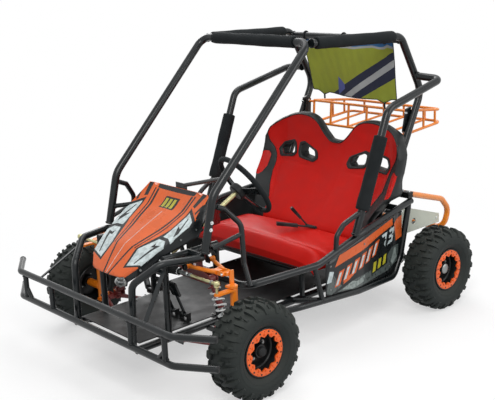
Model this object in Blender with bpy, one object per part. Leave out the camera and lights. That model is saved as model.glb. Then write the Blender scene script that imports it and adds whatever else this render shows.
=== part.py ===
# Racing kart with two seats, roll cage and four knobbly tyres, in metres.
# Front faces -Y, the driver's left is +X, the floor is z = 0.
from math import atan2, ceil, cos, exp, pi, radians, sin

import bmesh
import bpy
from mathutils import Matrix, Vector

for old in list(bpy.data.objects):
    bpy.data.objects.remove(old, do_unlink=True)

# Driving sizes. Stations along the kart are counted from the front axle, then moved by Y_SHIFT.
Y_SHIFT = -0.5391
WHEELBASE = 1.113
TYRE_R = 0.1775
TYRE_HALF = 0.0725
FRONT_X = 0.526
REAR_X = 0.482
RING_R = 0.0893
RIM_SEAT_R = 0.0745
FIT_GAP = 0.0005
TOUCH_GAP = 0.0003
CAGE_R = 0.016
FRAME_R = 0.014
SLIM_R = 0.011
BUMPER_R = 0.0125
RACK_R = 0.0065
SIDE_PAD_R = 0.0275
ROOF_PAD_R = 0.024
PAD_BORE_R = (CAGE_R + TOUCH_GAP) / cos(pi / 10) + 0.0002
AXLE_R = 0.0125
SPINDLE_R = 0.010
BEARING_GAP = 0.0003

# Front suspension, seen from the front: arm pivots, ball joints and the shock.
ARM_IN_X = 0.232
ARM_OUT_X = 0.395
LOW_ARM_Z = 0.150
UP_ARM_Z = 0.425
KINGPIN_X = 0.430
SHOCK_Y = 0.040
SHOCK_TOP = (0.262, 0.362)
SHOCK_LOW = (0.352, 0.175)
EYE_BORE_R = 0.0072
PIN_R = 0.0060
TIE_Y = -0.075
TIE_Z = 0.412
TIE_IN_X = KINGPIN_X - (ARM_OUT_X - ARM_IN_X)

# Steering wheel and its shaft down to the pinion.
WHEEL_AT = (0.195, 0.282, 0.658)
PINION_AT = (0.120, -0.060, 0.430)
STEER_R = 0.129
GRIP_R = 0.0105

# Cage stations: front roof corner, rear roof corner, kink of the rear post.
ROOF_F = (0.310, 0.533, 1.175)
ROOF_R = (0.320, 1.063, 1.154)
KINK = (0.320, 1.200, 0.910)
FOOT = (0.300, -0.0135, 0.4790)
A_BEND = (0.298, 0.036, 0.680)

parts = bpy.data.collections.new("racing_kart")
bpy.context.scene.collection.children.link(parts)

MATERIALS = {}


def material(name, colour, metallic=0.0, rough=0.5):
    if name not in MATERIALS:
        made = bpy.data.materials.new(name)
        made.use_nodes = True
        shader = made.node_tree.nodes["Principled BSDF"]
        shader.inputs["Base Color"].default_value = (*colour, 1)
        shader.inputs["Metallic"].default_value = metallic
        shader.inputs["Roughness"].default_value = rough
        made.diffuse_color = (*colour, 1)
        MATERIALS[name] = made
    return MATERIALS[name]


COLOURS = {
    "frame_black": ((0.013, 0.018, 0.020), 0.3, 0.42),
    "foam_black": ((0.020, 0.024, 0.025), 0.0, 0.85),
    "seat_red": ((0.52, 0.014, 0.008), 0.0, 0.45),
    "seat_black": ((0.020, 0.022, 0.022), 0.0, 0.5),
    "cowl_orange": ((0.74, 0.14, 0.03), 0.0, 0.35),
    "panel_black": ((0.025, 0.030, 0.032), 0.0, 0.35),
    "rack_orange": ((0.90, 0.26, 0.02), 0.0, 0.4),
    "ring_orange": ((0.86, 0.13, 0.02), 0.2, 0.4),
    "tyre_rubber": ((0.033, 0.038, 0.038), 0.0, 0.8),
    "rim_black": ((0.012, 0.014, 0.014), 0.4, 0.45),
    "arm_red": ((0.16, 0.016, 0.014), 0.2, 0.4),
    "knuckle_orange": ((0.88, 0.18, 0.02), 0.1, 0.4),
    "steel_pale": ((0.62, 0.62, 0.56), 0.8, 0.35),
    "spring_white": ((0.72, 0.74, 0.74), 0.1, 0.35),
    "plate_grey": ((0.62, 0.65, 0.58), 0.1, 0.5),
    "banner_cloth": ((0.30, 0.35, 0.04), 0.0, 0.9),
    "engine_grey": ((0.20, 0.21, 0.21), 0.7, 0.45),
    "trim_black": ((0.012, 0.012, 0.013), 0.0, 0.5),
}


def at(point):
    return Vector((point[0], point[1] + Y_SHIFT, point[2]))


# Shapes are (points, faces) in the front-axle frame, each closed.
def placed(shape, matrix):
    return [matrix @ Vector(p) for p in shape[0]], shape[1]


def mirrored(shape):
    return [Vector((-p[0], p[1], p[2])) for p in shape[0]], [f[::-1] for f in shape[1]]


def sided(shape, side):
    return shape if side > 0 else mirrored(shape)


def box(x0, x1, y0, y1, z0, z1):
    p = [Vector((x, y, z)) for x in (x0, x1) for y in (y0, y1) for z in (z0, z1)]
    return p, [(0, 1, 3, 2), (4, 6, 7, 5), (0, 4, 5, 1), (2, 3, 7, 6), (0, 2, 6, 4), (1, 5, 7, 3)]


def prism(outline, axis, low, high):
    """A flat outline pushed along an axis. Its two numbers are the other two axes, in X, Y, Z order."""
    points = []
    for level in (low, high):
        for a, b in outline:
            spot = [a, b]
            spot.insert("xyz".index(axis), level)
            points.append(Vector(spot))
    n = len(outline)
    faces = [tuple(range(n)), tuple(range(2 * n - 1, n - 1, -1))]
    for i in range(n):
        faces.append((i, n + i, n + (i + 1) % n, (i + 1) % n))
    return points, faces


def bent(points, radius, steps=3):
    """The path with each inner corner rounded. A radius can be one number or one for each inner corner."""
    pts = [Vector(p) for p in points]
    radii = radius if isinstance(radius, (list, tuple)) else [radius] * (len(pts) - 2)
    path = [pts[0]]
    for i in range(1, len(pts) - 1):
        r = radii[i - 1]
        before = (pts[i - 1] - pts[i]).normalized()
        after = (pts[i + 1] - pts[i]).normalized()
        turn = pi - before.angle(after)
        if r <= 0 or turn < radians(14):
            path.append(pts[i])
            continue
        cut = r * sin(turn / 2) / cos(turn / 2)
        centre = pts[i] + (before + after).normalized() * (r / cos(turn / 2))
        first = pts[i] + before * cut - centre
        last = pts[i] + after * cut - centre
        around = first.cross(last).normalized()
        count = max(1 if steps == 1 else 2, min(steps + 2, ceil(turn / radians(32))))
        for k in range(count + 1):
            path.append(centre + Matrix.Rotation(turn * k / count, 3, around) @ first)
    path.append(pts[-1])
    return path


def tube(path, radius, sides=8, loop=False, section=None, first_cut=None, last_cut=None):
    """A round tube along the path, mitred at each point, or one with a section of (across, up) points.
    The cuts are the directions square to an end face, for a slanted end."""
    pts = [Vector(p) for p in path]
    count = len(pts)
    spans = count if loop else count - 1
    way = [(pts[(i + 1) % count] - pts[i]).normalized() for i in range(spans)]
    start = way[0]
    up = Vector((0, 0, 1)) if abs(start.z) < 0.9 else Vector((0, 1, 0))
    across = start.cross(up).normalized()
    up = across.cross(start).normalized()
    if section is None:
        turned = pi / sides
        angles = [2 * pi * k / sides + turned for k in range(sides)]
        section = [(radius * cos(a), radius * sin(a)) for a in angles]
    ring = [pts[0] + across * a + up * b for a, b in section]
    if loop or first_cut:
        flat = Vector(first_cut) if first_cut else (way[0] + way[-1]).normalized()
        ring = [p + way[0] * ((pts[0] - p).dot(flat) / way[0].dot(flat)) for p in ring]
    rings = [ring]
    for i in range(1, count):
        here = way[i - 1]
        if i < count - 1 or loop:
            flat = (here + way[i % len(way)]).normalized()
        else:
            flat = Vector(last_cut) if last_cut else here
        ring = [p + here * ((pts[i] - p).dot(flat) / here.dot(flat)) for p in ring]
        rings.append(ring)
    n = len(section)
    points = [p for one in rings for p in one]
    faces = []
    for r in range(len(rings) if loop else len(rings) - 1):
        a, b = r * n, ((r + 1) % len(rings)) * n
        for k in range(n):
            faces.append((a + k, a + (k + 1) % n, b + (k + 1) % n, b + k))
    if not loop:
        faces.append(tuple(range(n - 1, -1, -1)))
        last = (len(rings) - 1) * n
        faces.append(tuple(range(last, last + n)))
    return points, faces


def sleeve(start, end, outer, bore, sides=10):
    """A straight pipe between two points."""
    return turned([(0, bore), (0, outer), (1, outer), (1, bore)], start, end, sides, share=True)


def turned(profile, start, end, steps=20, share=False):
    """A profile of (along, radius) points turned round a line. A radius of 0 closes on the line."""
    a, b = Vector(start), Vector(end)
    way = (b - a).normalized()
    length = (b - a).length if share else 1.0
    up = Vector((0, 0, 1)) if abs(way.z) < 0.9 else Vector((0, 1, 0))
    across = way.cross(up).normalized()
    up = across.cross(way).normalized()
    points = []
    rows = []
    for along, radius in profile:
        centre = a + way * (along * length)
        if radius == 0:
            rows.append([len(points)] * steps)
            points.append(centre)
            continue
        rows.append(list(range(len(points), len(points) + steps)))
        for k in range(steps):
            angle = 2 * pi * k / steps - pi / 2
            points.append(centre + across * (radius * cos(angle)) + up * (radius * sin(angle)))
    faces = []
    closed = profile[0][1] != 0 or profile[-1][1] != 0
    for i in range(len(rows) if closed else len(rows) - 1):
        low, high = rows[i], rows[(i + 1) % len(rows)]
        for k in range(steps):
            face = [low[k], low[(k + 1) % steps], high[(k + 1) % steps], high[k]]
            face = [v for j, v in enumerate(face) if v not in face[:j]]
            if len(face) > 2:
                faces.append(tuple(face))
    return points, faces


def rod(start, end, radius, sides=12):
    return turned([(0, 0), (0, radius), (1, radius), (1, 0)], start, end, sides, share=True)


def bar(start, end, across, high):
    """A bar with a square section, its wide side upright where it can be."""
    a, b = across / 2, high / 2
    return tube([start, end], 0, section=[(-a, -b), (a, -b), (a, b), (-a, b)])


def slab(front, back):
    """Two grids of points with the same rows and columns, joined all round into one closed skin."""
    rows, cols = len(front), len(front[0])
    points = [Vector(p) for row in front for p in row] + [Vector(p) for row in back for p in row]
    off = rows * cols
    faces = []
    for r in range(rows - 1):
        for c in range(cols - 1):
            a, b = r * cols + c, r * cols + c + 1
            d, e = a + cols, b + cols
            faces.append((a, b, e, d))
            faces.append((off + a, off + d, off + e, off + b))
    rim = [c for c in range(cols)]
    rim += [r * cols + cols - 1 for r in range(1, rows)]
    rim += [(rows - 1) * cols + c for c in range(cols - 2, -1, -1)]
    rim += [r * cols for r in range(rows - 2, 0, -1)]
    for i, a in enumerate(rim):
        b = rim[(i + 1) % len(rim)]
        faces.append((a, off + a, off + b, b))
    return points, faces


def raw_object(shape, name, keep=None):
    mesh = bpy.data.meshes.new(name)
    mesh.from_pydata([tuple(at(p)) for p in shape[0]], [], shape[1])
    work = bmesh.new()
    work.from_mesh(mesh)
    bmesh.ops.remove_doubles(work, verts=work.verts, dist=1e-6)
    bmesh.ops.recalc_face_normals(work, faces=work.faces)
    if sum(f.calc_area() * f.normal.dot(f.calc_center_median()) for f in work.faces) < 0:
        bmesh.ops.reverse_faces(work, faces=work.faces)
    work.to_mesh(mesh)
    work.free()
    made = bpy.data.objects.new(name, mesh)
    (keep or parts).objects.link(made)
    return made


def build(name, shapes, colour, origin=None, cuts=()):
    """One named piece from overlapping shapes joined into one body, with holes cut after."""
    group = bpy.data.collections.new(name + "_pieces")
    bpy.context.scene.collection.children.link(group)
    base = raw_object(shapes[0], name)
    for kind, more in (("UNION", shapes[1:]), ("DIFFERENCE", cuts)):
        for shape in more:
            other = raw_object(shape, name + "_tool", group)
            modifier = base.modifiers.new(kind.lower(), "BOOLEAN")
            modifier.operation = kind
            modifier.solver = "EXACT"
            modifier.object = other
    if base.modifiers:
        graph = bpy.context.evaluated_depsgraph_get()
        solid = bpy.data.meshes.new_from_object(base.evaluated_get(graph))
        base.modifiers.clear()
        spent = base.data
        base.data = solid
        bpy.data.meshes.remove(spent)
        work = bmesh.new()
        work.from_mesh(solid)
        bmesh.ops.remove_doubles(work, verts=work.verts, dist=2e-6)
        bmesh.ops.dissolve_limit(work, angle_limit=radians(0.05), verts=work.verts, edges=work.edges)
        bmesh.ops.triangulate(work, faces=work.faces)
        work.to_mesh(solid)
        work.free()
    for tool in list(group.objects):
        bpy.data.objects.remove(tool, do_unlink=True)
    bpy.data.collections.remove(group)
    base.data.name = name
    base.data.materials.clear()
    tint, metallic, rough = COLOURS[colour]
    base.data.materials.append(material(colour, tint, metallic, rough))
    if origin:
        spot = at(origin)
        base.data.transform(Matrix.Translation(-spot))
        base.location = spot
    return base


def both(name, make, colour, origin=None, cuts=None):
    """The left piece and its mirror image."""
    for side, word in ((1, "left"), (-1, "right")):
        spot = (origin[0] * side, origin[1], origin[2]) if origin else None
        shapes = [sided(s, side) for s in make()]
        holes = [sided(s, side) for s in cuts()] if cuts else ()
        build(f"{name}_{word}", shapes, colour, spot, holes)


def mirror_path(points):
    """A path given from the left end to the middle, run on to the right end."""
    return list(points) + [(-x, y, z) for x, y, z in reversed(points)]


# Main welded frame: floor rails, front towers, seat bars and the engine cradle.
RAIL_X = 0.270
NOSE_X = 0.200
RAIL_Z = 0.160
TOWER_X = 0.205
TOWER_YS = (-0.125, 0.115)
TOWER_Z = 0.465
CRADLE_Z = 0.300
CUSHION_LOW_Z = 0.287
SEAT_BAR_R = 0.0121
SEAT_BAR_Z = CUSHION_LOW_Z - SEAT_BAR_R - FIT_GAP
SEAT_BAR_YS = (0.50, 0.76)
CRADLE_BAR_Z = 0.3008
CRADLE_BAR_R = 0.0129
REAR_BAR = (0.955, 0.455)
CARRIER_X = 0.270


def chassis_shapes():
    made = []
    for side in (1, -1):
        def put(path, radius=FRAME_R, corner=0.0, side=side):
            made.append(sided(tube(bent(path, corner, 1), radius, 6), side))
        put([(NOSE_X, -0.27, RAIL_Z), (NOSE_X, 0.110, RAIL_Z), (RAIL_X, 0.220, RAIL_Z),
             (RAIL_X, 0.945, RAIL_Z), (RAIL_X, 1.020, CRADLE_Z),
             (RAIL_X, WHEELBASE + 0.217, CRADLE_Z + 0.004)])
        for y in TOWER_YS:
            put([(TOWER_X, y, RAIL_Z), (TOWER_X, y, TOWER_Z)], 0.0127)
        put([(TOWER_X, -0.132, TOWER_Z), (TOWER_X, 0.122, TOWER_Z)], 0.0133)
        put([(TOWER_X, FOOT[1], TOWER_Z), (FOOT[0], FOOT[1], TOWER_Z), (0.250, -0.175, 0.470),
             (0.185, -0.258, 0.400), (0.180, -0.268, RAIL_Z)], 0.0136, [0.018, 0.06, 0.04])
        for y in SEAT_BAR_YS:
            put([(RAIL_X, y, RAIL_Z), (RAIL_X, y, SEAT_BAR_Z)], SLIM_R)
        put([(RAIL_X, 0.930, RAIL_Z), (0.300, REAR_BAR[0], REAR_BAR[1])], 0.0132)
        # Bearing carriers that hang from the cradle and hold the rear axle.
        plate = [(-0.038, CRADLE_Z - 0.006), (0.038, CRADLE_Z - 0.006), (0.033, 0.160), (0.015, 0.146),
                 (-0.015, 0.146), (-0.033, 0.160)]
        plate = [(WHEELBASE + y, z) for y, z in plate]
        made.append(sided(prism(plate, "x", CARRIER_X - 0.004, CARRIER_X + 0.004), side))
        ring = [(-0.012, AXLE_R + 0.004), (-0.012, 0.030), (0.012, 0.030), (0.012, AXLE_R + 0.004)]
        centre = (CARRIER_X, WHEELBASE, TYRE_R)
        made.append(sided(turned(ring, centre, (CARRIER_X + 1, WHEELBASE, TYRE_R), 10), side))
        # Ears that hold the inner ends of the two suspension arms.
        for y in (-0.0945, -0.0595, 0.0555, 0.0905):
            made.append(sided(box(0.196, 0.243, y, y + 0.004, 0.139, 0.161), side))
        for y in (-0.0565, -0.0275, 0.0505, 0.0855):
            ear = [(0.198, 0.474), (0.243, 0.434), (0.243, 0.414), (0.221, 0.414)]
            made.append(sided(prism(ear, "y", y, y + 0.004), side))
    cross = [(0.1995, -0.262, 0.1605), (NOSE_X, -0.125, 0.1603), (RAIL_X, 0.135, 0.1604)]
    for x, y, z in cross:
        made.append(tube([(x, y, z), (-x, y, z)], 0.0131, 6))
    for end, low_z in (((0.4120, 0.45, 0.197), 0.1602), ((0.3900, 0.80, 0.1665), 0.1604)):
        path = mirror_path([end, (RAIL_X, end[1], low_z)])
        made.append(tube(bent(path, 0.05, 1), 0.0128, 6))
    made.append(tube([(TOWER_X, -0.125, TIE_Z), (-TOWER_X, -0.125, TIE_Z)], 0.0118, 6))
    for y in SEAT_BAR_YS:
        made.append(tube([(0.290, y, SEAT_BAR_Z), (-0.290, y, SEAT_BAR_Z)], SEAT_BAR_R, 6))
    made.append(tube([(0.3816, REAR_BAR[0], REAR_BAR[1]), (-0.3816, REAR_BAR[0], REAR_BAR[1])], 0.0138, 6))
    for y in (WHEELBASE - 0.068, WHEELBASE + 0.077):
        made.append(tube([(RAIL_X, y, CRADLE_BAR_Z), (-RAIL_X, y, CRADLE_BAR_Z)], CRADLE_BAR_R, 6))
    y = WHEELBASE + 0.202
    made.append(tube([(RAIL_X, y, 0.3042), (-RAIL_X, y, 0.3042)], 0.0127, 6))
    return made


def axle_holes():
    radius = (AXLE_R + BEARING_GAP) / cos(pi / 10)
    return [rod((x - 0.02, WHEELBASE, TYRE_R), (x + 0.02, WHEELBASE, TYRE_R), radius, 10)
            for x in (CARRIER_X, -CARRIER_X)]


build("chassis_frame", chassis_shapes(), "frame_black", cuts=axle_holes())

# Floor pan with two pairs of pedal ears.
PAN_Z = 0.1736 + FIT_GAP
PAN_T = 0.004
PEDAL_Y = 0.010
PEDAL_Z = 0.196
outline = [(0.185, -0.245), (0.185, 0.140), (0.255, 0.245), (0.255, 0.90)]
outline += [(-x, y) for x, y in reversed(outline)]
pan = [prism(outline, "z", PAN_Z, PAN_Z + PAN_T)]
PEDAL_X = (0.060, 0.130)
for x in PEDAL_X:
    for dx in (-0.0235, 0.0195):
        low = x + dx
        pan.append(box(low, low + 0.004, PEDAL_Y - 0.010, PEDAL_Y + 0.010, PAN_Z + 0.001, PEDAL_Z + 0.010))
build("floor_pan", pan, "panel_black")

# Two pedals, each turning on a cross tube near the floor.
for name, x in (("throttle_pedal", PEDAL_X[0]), ("brake_pedal", PEDAL_X[1])):
    lean = Vector((0, -0.045, 0.115))
    foot = Vector((x, PEDAL_Y, PEDAL_Z))
    top = foot + lean
    pad = prism([(-0.004, -0.030), (0.005, -0.030), (0.005, 0.030), (-0.004, 0.030)], "x", -0.024, 0.024)
    turn = Matrix.Translation(top) @ Matrix.Rotation(atan2(0.045, 0.115), 4, "X")
    build(name, [rod(foot - Vector((0.0190, 0, 0)), foot + Vector((0.0190, 0, 0)), 0.0085, 10),
                 tube([foot, top], 0.006, 6), placed(pad, turn)], "frame_black", tuple(foot))

# Nose cowl: a faceted shell. Rows run from the nose tip back to the dash edge.
COWL = [
    [(0.000, -0.243, 0.399), (0.030, -0.243, 0.399), (0.081, -0.239, 0.400), (0.101, -0.232, 0.404),
     (0.106, -0.226, 0.380)],
    [(0.000, -0.205, 0.437), (0.037, -0.205, 0.437), (0.095, -0.205, 0.436), (0.145, -0.196, 0.443),
     (0.152, -0.188, 0.416)],
    [(0.000, -0.150, 0.489), (0.046, -0.152, 0.487), (0.115, -0.140, 0.486), (0.172, -0.125, 0.491),
     (0.180, -0.118, 0.464)],
    [(0.000, -0.053, 0.537), (0.077, -0.052, 0.529), (0.140, -0.052, 0.527), (0.196, -0.045, 0.533),
     (0.206, -0.038, 0.494)],
    [(0.000, 0.060, 0.588), (0.056, 0.057, 0.586), (0.135, 0.045, 0.584), (0.203, 0.018, 0.570),
     (0.226, 0.022, 0.520)],
    [(0.000, 0.115, 0.650), (0.062, 0.115, 0.650), (0.130, 0.115, 0.650), (0.179, 0.114, 0.649),
     (0.215, 0.085, 0.600)],
]


def cowl_shape():
    skin = []
    inner = []
    for row in COWL:
        full = [(-x, y, z) for x, y, z in reversed(row[1:])] + row
        skin.append(full)
        inner.append([(x * 0.975, y + 0.003, z - 0.0055) for x, y, z in full])
    return slab(skin, inner)


build("nose_cowl", [cowl_shape()], "cowl_orange")

# Front bumper: two bars with swept ends, four uprights, two straps and two stubs to the frame.
BUMPER_Y = -0.328
BUMPER_ZS = (0.212, 0.316)
bumper = []
for z in BUMPER_ZS:
    bumper.append(tube(bent(mirror_path([(0.622, -0.243, z), (0.490, BUMPER_Y, z)]), 0.035), BUMPER_R, 6))
for x in (0.452, 0.257, -0.257, -0.452):
    bumper.append(tube([(x, BUMPER_Y, BUMPER_ZS[0]), (x, BUMPER_Y, BUMPER_ZS[1])], 0.0108, 6))
for side in (1, -1):
    bumper.append(sided(bar((0.345, BUMPER_Y, BUMPER_ZS[1]), (0.262, -0.172, 0.4450), 0.016, 0.005), side))
    brace = [(0.410, BUMPER_Y, BUMPER_ZS[0]), (0.452, BUMPER_Y + 0.002, 0.256)]
    stub = [(0.150, BUMPER_Y, BUMPER_ZS[0]), (0.150, -0.27134, 0.17038)]
    bumper.append(sided(tube(brace, 0.0085, 6), side))
    bumper.append(sided(tube(stub, 0.0105, 6), side))
build("front_bumper", bumper, "frame_black")

# Roll cage: front hoop with dash bar and column bracket, then the roof rails and rear posts.
SHAFT_WAY = (Vector(WHEEL_AT) - Vector(PINION_AT)).normalized()
SHAFT_R = 0.009
BUSH_R = (SHAFT_R + BEARING_GAP) / cos(pi / 10)
BUSH = Vector(PINION_AT) + SHAFT_WAY * 0.170
BUSH_NEAR = BUSH - SHAFT_WAY * 0.012
BUSH_FAR = BUSH + SHAFT_WAY * 0.012
front_path = bent(mirror_path([FOOT, A_BEND, ROOF_F]), [0.10, 0.045, 0.045, 0.10])
dash = bent(mirror_path([(A_BEND[0], 0.004, 0.548), (0.200, 0.100, 0.562)]), 0.04)
hoop = [tube(front_path, CAGE_R, 8, first_cut=(0, 0, 1), last_cut=(0, 0, 1)), tube(dash, 0.0095, 6)]
collar = [(-0.012, BUSH_R), (-0.012, 0.019), (0.012, 0.019), (0.012, BUSH_R)]
hoop.append(turned(collar, BUSH, BUSH + SHAFT_WAY, 10))
hoop.append(bar(BUSH + Vector((0, -0.554, 0.832)) * 0.0185, (BUSH.x, 0.098, 0.562), 0.012, 0.010))
hoop.append(bar((0.292, 0.022, 0.600), (0.196, 0.150, 0.568), 0.005, 0.060))
hoop.append(bar((0.197, 0.150, 0.570), (0.184, 0.103, 0.567), 0.012, 0.014))
hoop.append(tube([(0.2985, 0.0912, 0.735), (0.020, 0.1260, 0.6600)], 0.0080, 6))
hoop.append(box(-0.020, 0.045, 0.1185, 0.1225, 0.630, 0.670))
build("cage_front_hoop", hoop, "frame_black")

RAIL_START = (0.3010, 0.5497, 1.1705)
POST_Y, POST_Z = 0.9685, 0.4692
REAR_TUBE = (ROOF_R[1] + 0.0070, ROOF_R[2] - 0.0160, 0.0150)
rear = []
for side in (1, -1):
    path = [RAIL_START, ROOF_R, KINK, (0.320, POST_Y, POST_Z)]
    rear.append(sided(tube(bent(path, [0.045, 0.07]), CAGE_R, 8, last_cut=(0, 0, -1)), side))
    # Bolted plate that carries the luggage rack.
    plate = [(1.118, 0.842), (1.152, 0.850), (1.130, 0.748), (1.096, 0.748)]
    rear.append(sided(prism(plate, "x", 0.2995, 0.3075), side))
rear.append(tube([(0.318, *REAR_TUBE[:2]), (-0.318, *REAR_TUBE[:2])], REAR_TUBE[2]))
build("cage_rear_hoop", rear, "frame_black")

# Hoops that stand out beside the seats, from the rear post round to the side frame.
HOOP_LOW = (0.444, 0.6275, 0.4220)
HOOP_FRONT = (0.451, 0.822, 0.897)
HOOP_PATH = [(0.3380, 1.1520, 0.981), (0.446, 1.166, 0.974), HOOP_FRONT, HOOP_LOW]
both("side_hoop", lambda: [tube(bent(HOOP_PATH, [0.026, 0.05]), CAGE_R, 10, last_cut=(0, 0.27, -0.963))],
     "frame_black")

# Foam sleeves over the cage tubes.
FRONT_ENDS = [(x, ROOF_F[1], ROOF_F[2]) for x in (0.2350, -0.2350)]
build("pad_front", [sleeve(*FRONT_ENDS, ROOF_PAD_R, PAD_BORE_R)], "foam_black")


def along(start, end, share):
    return Vector(start) + (Vector(end) - Vector(start)) * share


def pad_over(start, end, low, high, outer):
    return [sleeve(along(start, end, low), along(start, end, high), outer, PAD_BORE_R)]


both("pad_roof", lambda: pad_over(RAIL_START, ROOF_R, 0.055, 0.905, ROOF_PAD_R), "foam_black")
both("pad_side", lambda: pad_over(HOOP_FRONT, HOOP_LOW, 0.215, 0.795, SIDE_PAD_R), "foam_black")

# Side frames: top and bottom rails, strut, grab loop beside the seat and knee loop at the front.
SIDE_TOP = [(0.2168, 0.1150, 0.3400), (0.300, 0.112, 0.340), (0.380, 0.098, 0.342), (0.430, 0.430, 0.350),
            (0.432, 0.690, 0.423), (0.384, 1.052, 0.468)]
SIDE_LOW = [(0.2850, 0.1420, 0.1680), (0.345, 0.175, 0.188), (0.424, 0.330, 0.206), (0.430, 0.660, 0.182),
            (0.386, 0.935, 0.160), (0.382, 0.985, 0.240), (0.383, 1.034, 0.440), (0.383, 1.036, 0.466)]


GRAB_SHARE = 0.165
TOP_PATH = bent(SIDE_TOP, [0.05, 0.05, 0.12, 0.12], 1)
LOW_PATH = bent(SIDE_LOW, [0.05, 0.09, 0.1, 0.045, 0.06, 0.0], 1)


def side_frame_shapes():
    # The grab loop ends against the side hoop, just below its pad.
    hoop_way = (Vector(HOOP_FRONT) - Vector(HOOP_LOW)).normalized()
    ahead = Vector((0, -hoop_way.z, hoop_way.y)).normalized()
    grab_end = Vector(HOOP_LOW).lerp(Vector(HOOP_FRONT), GRAB_SHARE) + ahead * (CAGE_R + TOUCH_GAP)
    made = [tube(TOP_PATH, FRAME_R, 6)]
    made.append(tube(LOW_PATH, 0.0134, 6))
    made.append(tube([(0.4275, 0.412, 0.350), (0.4285, 0.452, 0.197)], 0.0108, 6))
    grab = [(0.4295, 0.530, 0.376), (0.4300, 0.536, 0.440), (0.431, 0.575, 0.478), grab_end]
    made.append(tube(bent(grab, [0.03, 0.03]), 0.0105, 6, last_cut=(0, hoop_way.z, -hoop_way.y)))
    knee = [(0.389, 0.118, 0.342), (0.352, 0.124, 0.420), (0.332, 0.136, 0.560), (0.3040, 0.0830, 0.6250),
            (0.3020, 0.0480, 0.6400)]
    made.append(tube(bent(knee, [0.05, 0.035, 0.0]), 0.0102, 6))
    made.append(tube([(0.336, 0.130, 0.526), (0.3180, 0.0060, 0.4980)], 0.0085, 6))
    return made


both("side_frame", side_frame_shapes, "frame_black")


def rail_at(path, y):
    """Height and side position of a rail where it passes this station."""
    for a, b in zip(path, path[1:]):
        if a[1] <= y <= b[1]:
            t = (y - a[1]) / (b[1] - a[1])
            return a[0] + (b[0] - a[0]) * t, a[2] + (b[2] - a[2]) * t
    raise ValueError(y)


def panel_shapes():
    stations = [0.470, 0.530, 0.600, 0.690, 0.780, 0.870, 0.915]
    front = []
    for y in stations:
        top_x, top_z = rail_at(TOP_PATH, y)
        low_x, low_z = rail_at(LOW_PATH, y)
        column = []
        for k in range(4):
            share = k / 3
            high = low_z + 0.0143 + (top_z - low_z - 0.0293) * share
            column.append((low_x + (top_x - low_x) * share + 0.004, y, high))
        front.append(column)
    for dy, rise in ((0.955, 0.040), (0.988, 0.120)):
        top_x, top_z = rail_at(TOP_PATH, dy)
        column = []
        for k in range(4):
            share = k / 3
            low_z = 0.160 + rise + 0.020
            high = low_z + (top_z - 0.0150 - low_z) * share
            column.append((0.3905, dy - 0.006, high))
        front.append(column)
    back = [[(x - 0.0035, y, z) for x, y, z in column] for column in front]
    return [slab(front, back)]


both("side_panel", panel_shapes, "panel_black")

# Seat: one bench for two with headrest humps, forward wings and harness slots.
SEAT_TOP = [(0.0, 0.688), (0.035, 0.692), (0.075, 0.728), (0.110, 0.768), (0.150, 0.790), (0.205, 0.797),
            (0.255, 0.791), (0.300, 0.776), (0.345, 0.753), (0.380, 0.720), (0.402, 0.665)]
SEAT_BACK = [(0.300, 0.786), (0.345, 0.792), (0.400, 0.832), (0.470, 0.888), (0.540, 0.940), (0.600, 0.972),
             (0.660, 0.990), (0.730, 0.996), (0.800, 0.997)]
SEAT_LOW_Z = 0.305
POST_LEAN = (KINK[1] - POST_Y) / (KINK[2] - POST_Z)
SEAT_T = 0.044


def between(table, value):
    for (a, fa), (b, fb) in zip(table, table[1:]):
        if value <= b:
            return fa + (fb - fa) * max(0.0, (value - a) / (b - a))
    return table[-1][1]


def ramp(value, low, high):
    return min(1.0, max(0.0, (value - low) / (high - low)))


def seat_back_shape():
    """Front and back skins of the seat back, with side wings that stand further forward than the middle."""
    half = [0.0, 0.040, 0.078, 0.115, 0.150, 0.205, 0.262, 0.300, 0.345, 0.380, 0.402]
    columns = [-x for x in reversed(half[1:])] + half
    front, back = [], []
    rows = 8
    for r in range(rows):
        share = r / (rows - 1)
        f_row, b_row = [], []
        for x in columns:
            z = SEAT_LOW_Z + (between(SEAT_TOP, abs(x)) - SEAT_LOW_Z) * share
            width = 0.86 + 0.14 * ramp(z, 0.42, 0.52)
            wing = ramp(abs(x), 0.300, 0.402)
            lean = between(SEAT_BACK, z) + 0.012
            forward = 0.062 * wing ** 1.5 * ramp(z, 0.33, 0.46)
            bulge = 0.010 * max(0.0, 1 - (abs(abs(x) - 0.19) / 0.13) ** 2) * sin(pi * ramp(z, 0.33, 0.74))
            f_row.append((x * width, lean - forward - bulge, z))
            rear = lean + SEAT_T
            if 0.29 < abs(x) < 0.36 and z > 0.47:
                rear = min(rear, POST_Y + (z - POST_Z) * POST_LEAN - CAGE_R * 1.13 - 0.0004)
            if abs(x) > 0.36:
                rear = max(rear - 0.030 * wing, 0.985 if z > 0.50 else 0)
            b_row.append((x * width * (1 - 0.015 * share), rear, z - 0.005 * share + 0.002))
        front.append(f_row)
        back.append(b_row)
    return slab(front, back)


SLOT_WIDE, SLOT_HIGH = 0.068, 0.048


def slot_cutters():
    """Four harness slots, tilted like the slots they copy."""
    made = []
    for x, tilt in ((0.148, 0.45), (0.290, -0.45), (-0.148, -0.45), (-0.290, 0.45)):
        shape = box(-SLOT_WIDE / 2, SLOT_WIDE / 2, -0.12, 0.12, -SLOT_HIGH / 2, SLOT_HIGH / 2)
        turn = Matrix.Translation((x, 0.99, 0.612)) @ Matrix.Rotation(tilt, 4, "Y")
        made.append(placed(shape, turn))
    return made


build("seat_back", [seat_back_shape()], "seat_red", cuts=slot_cutters())


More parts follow.
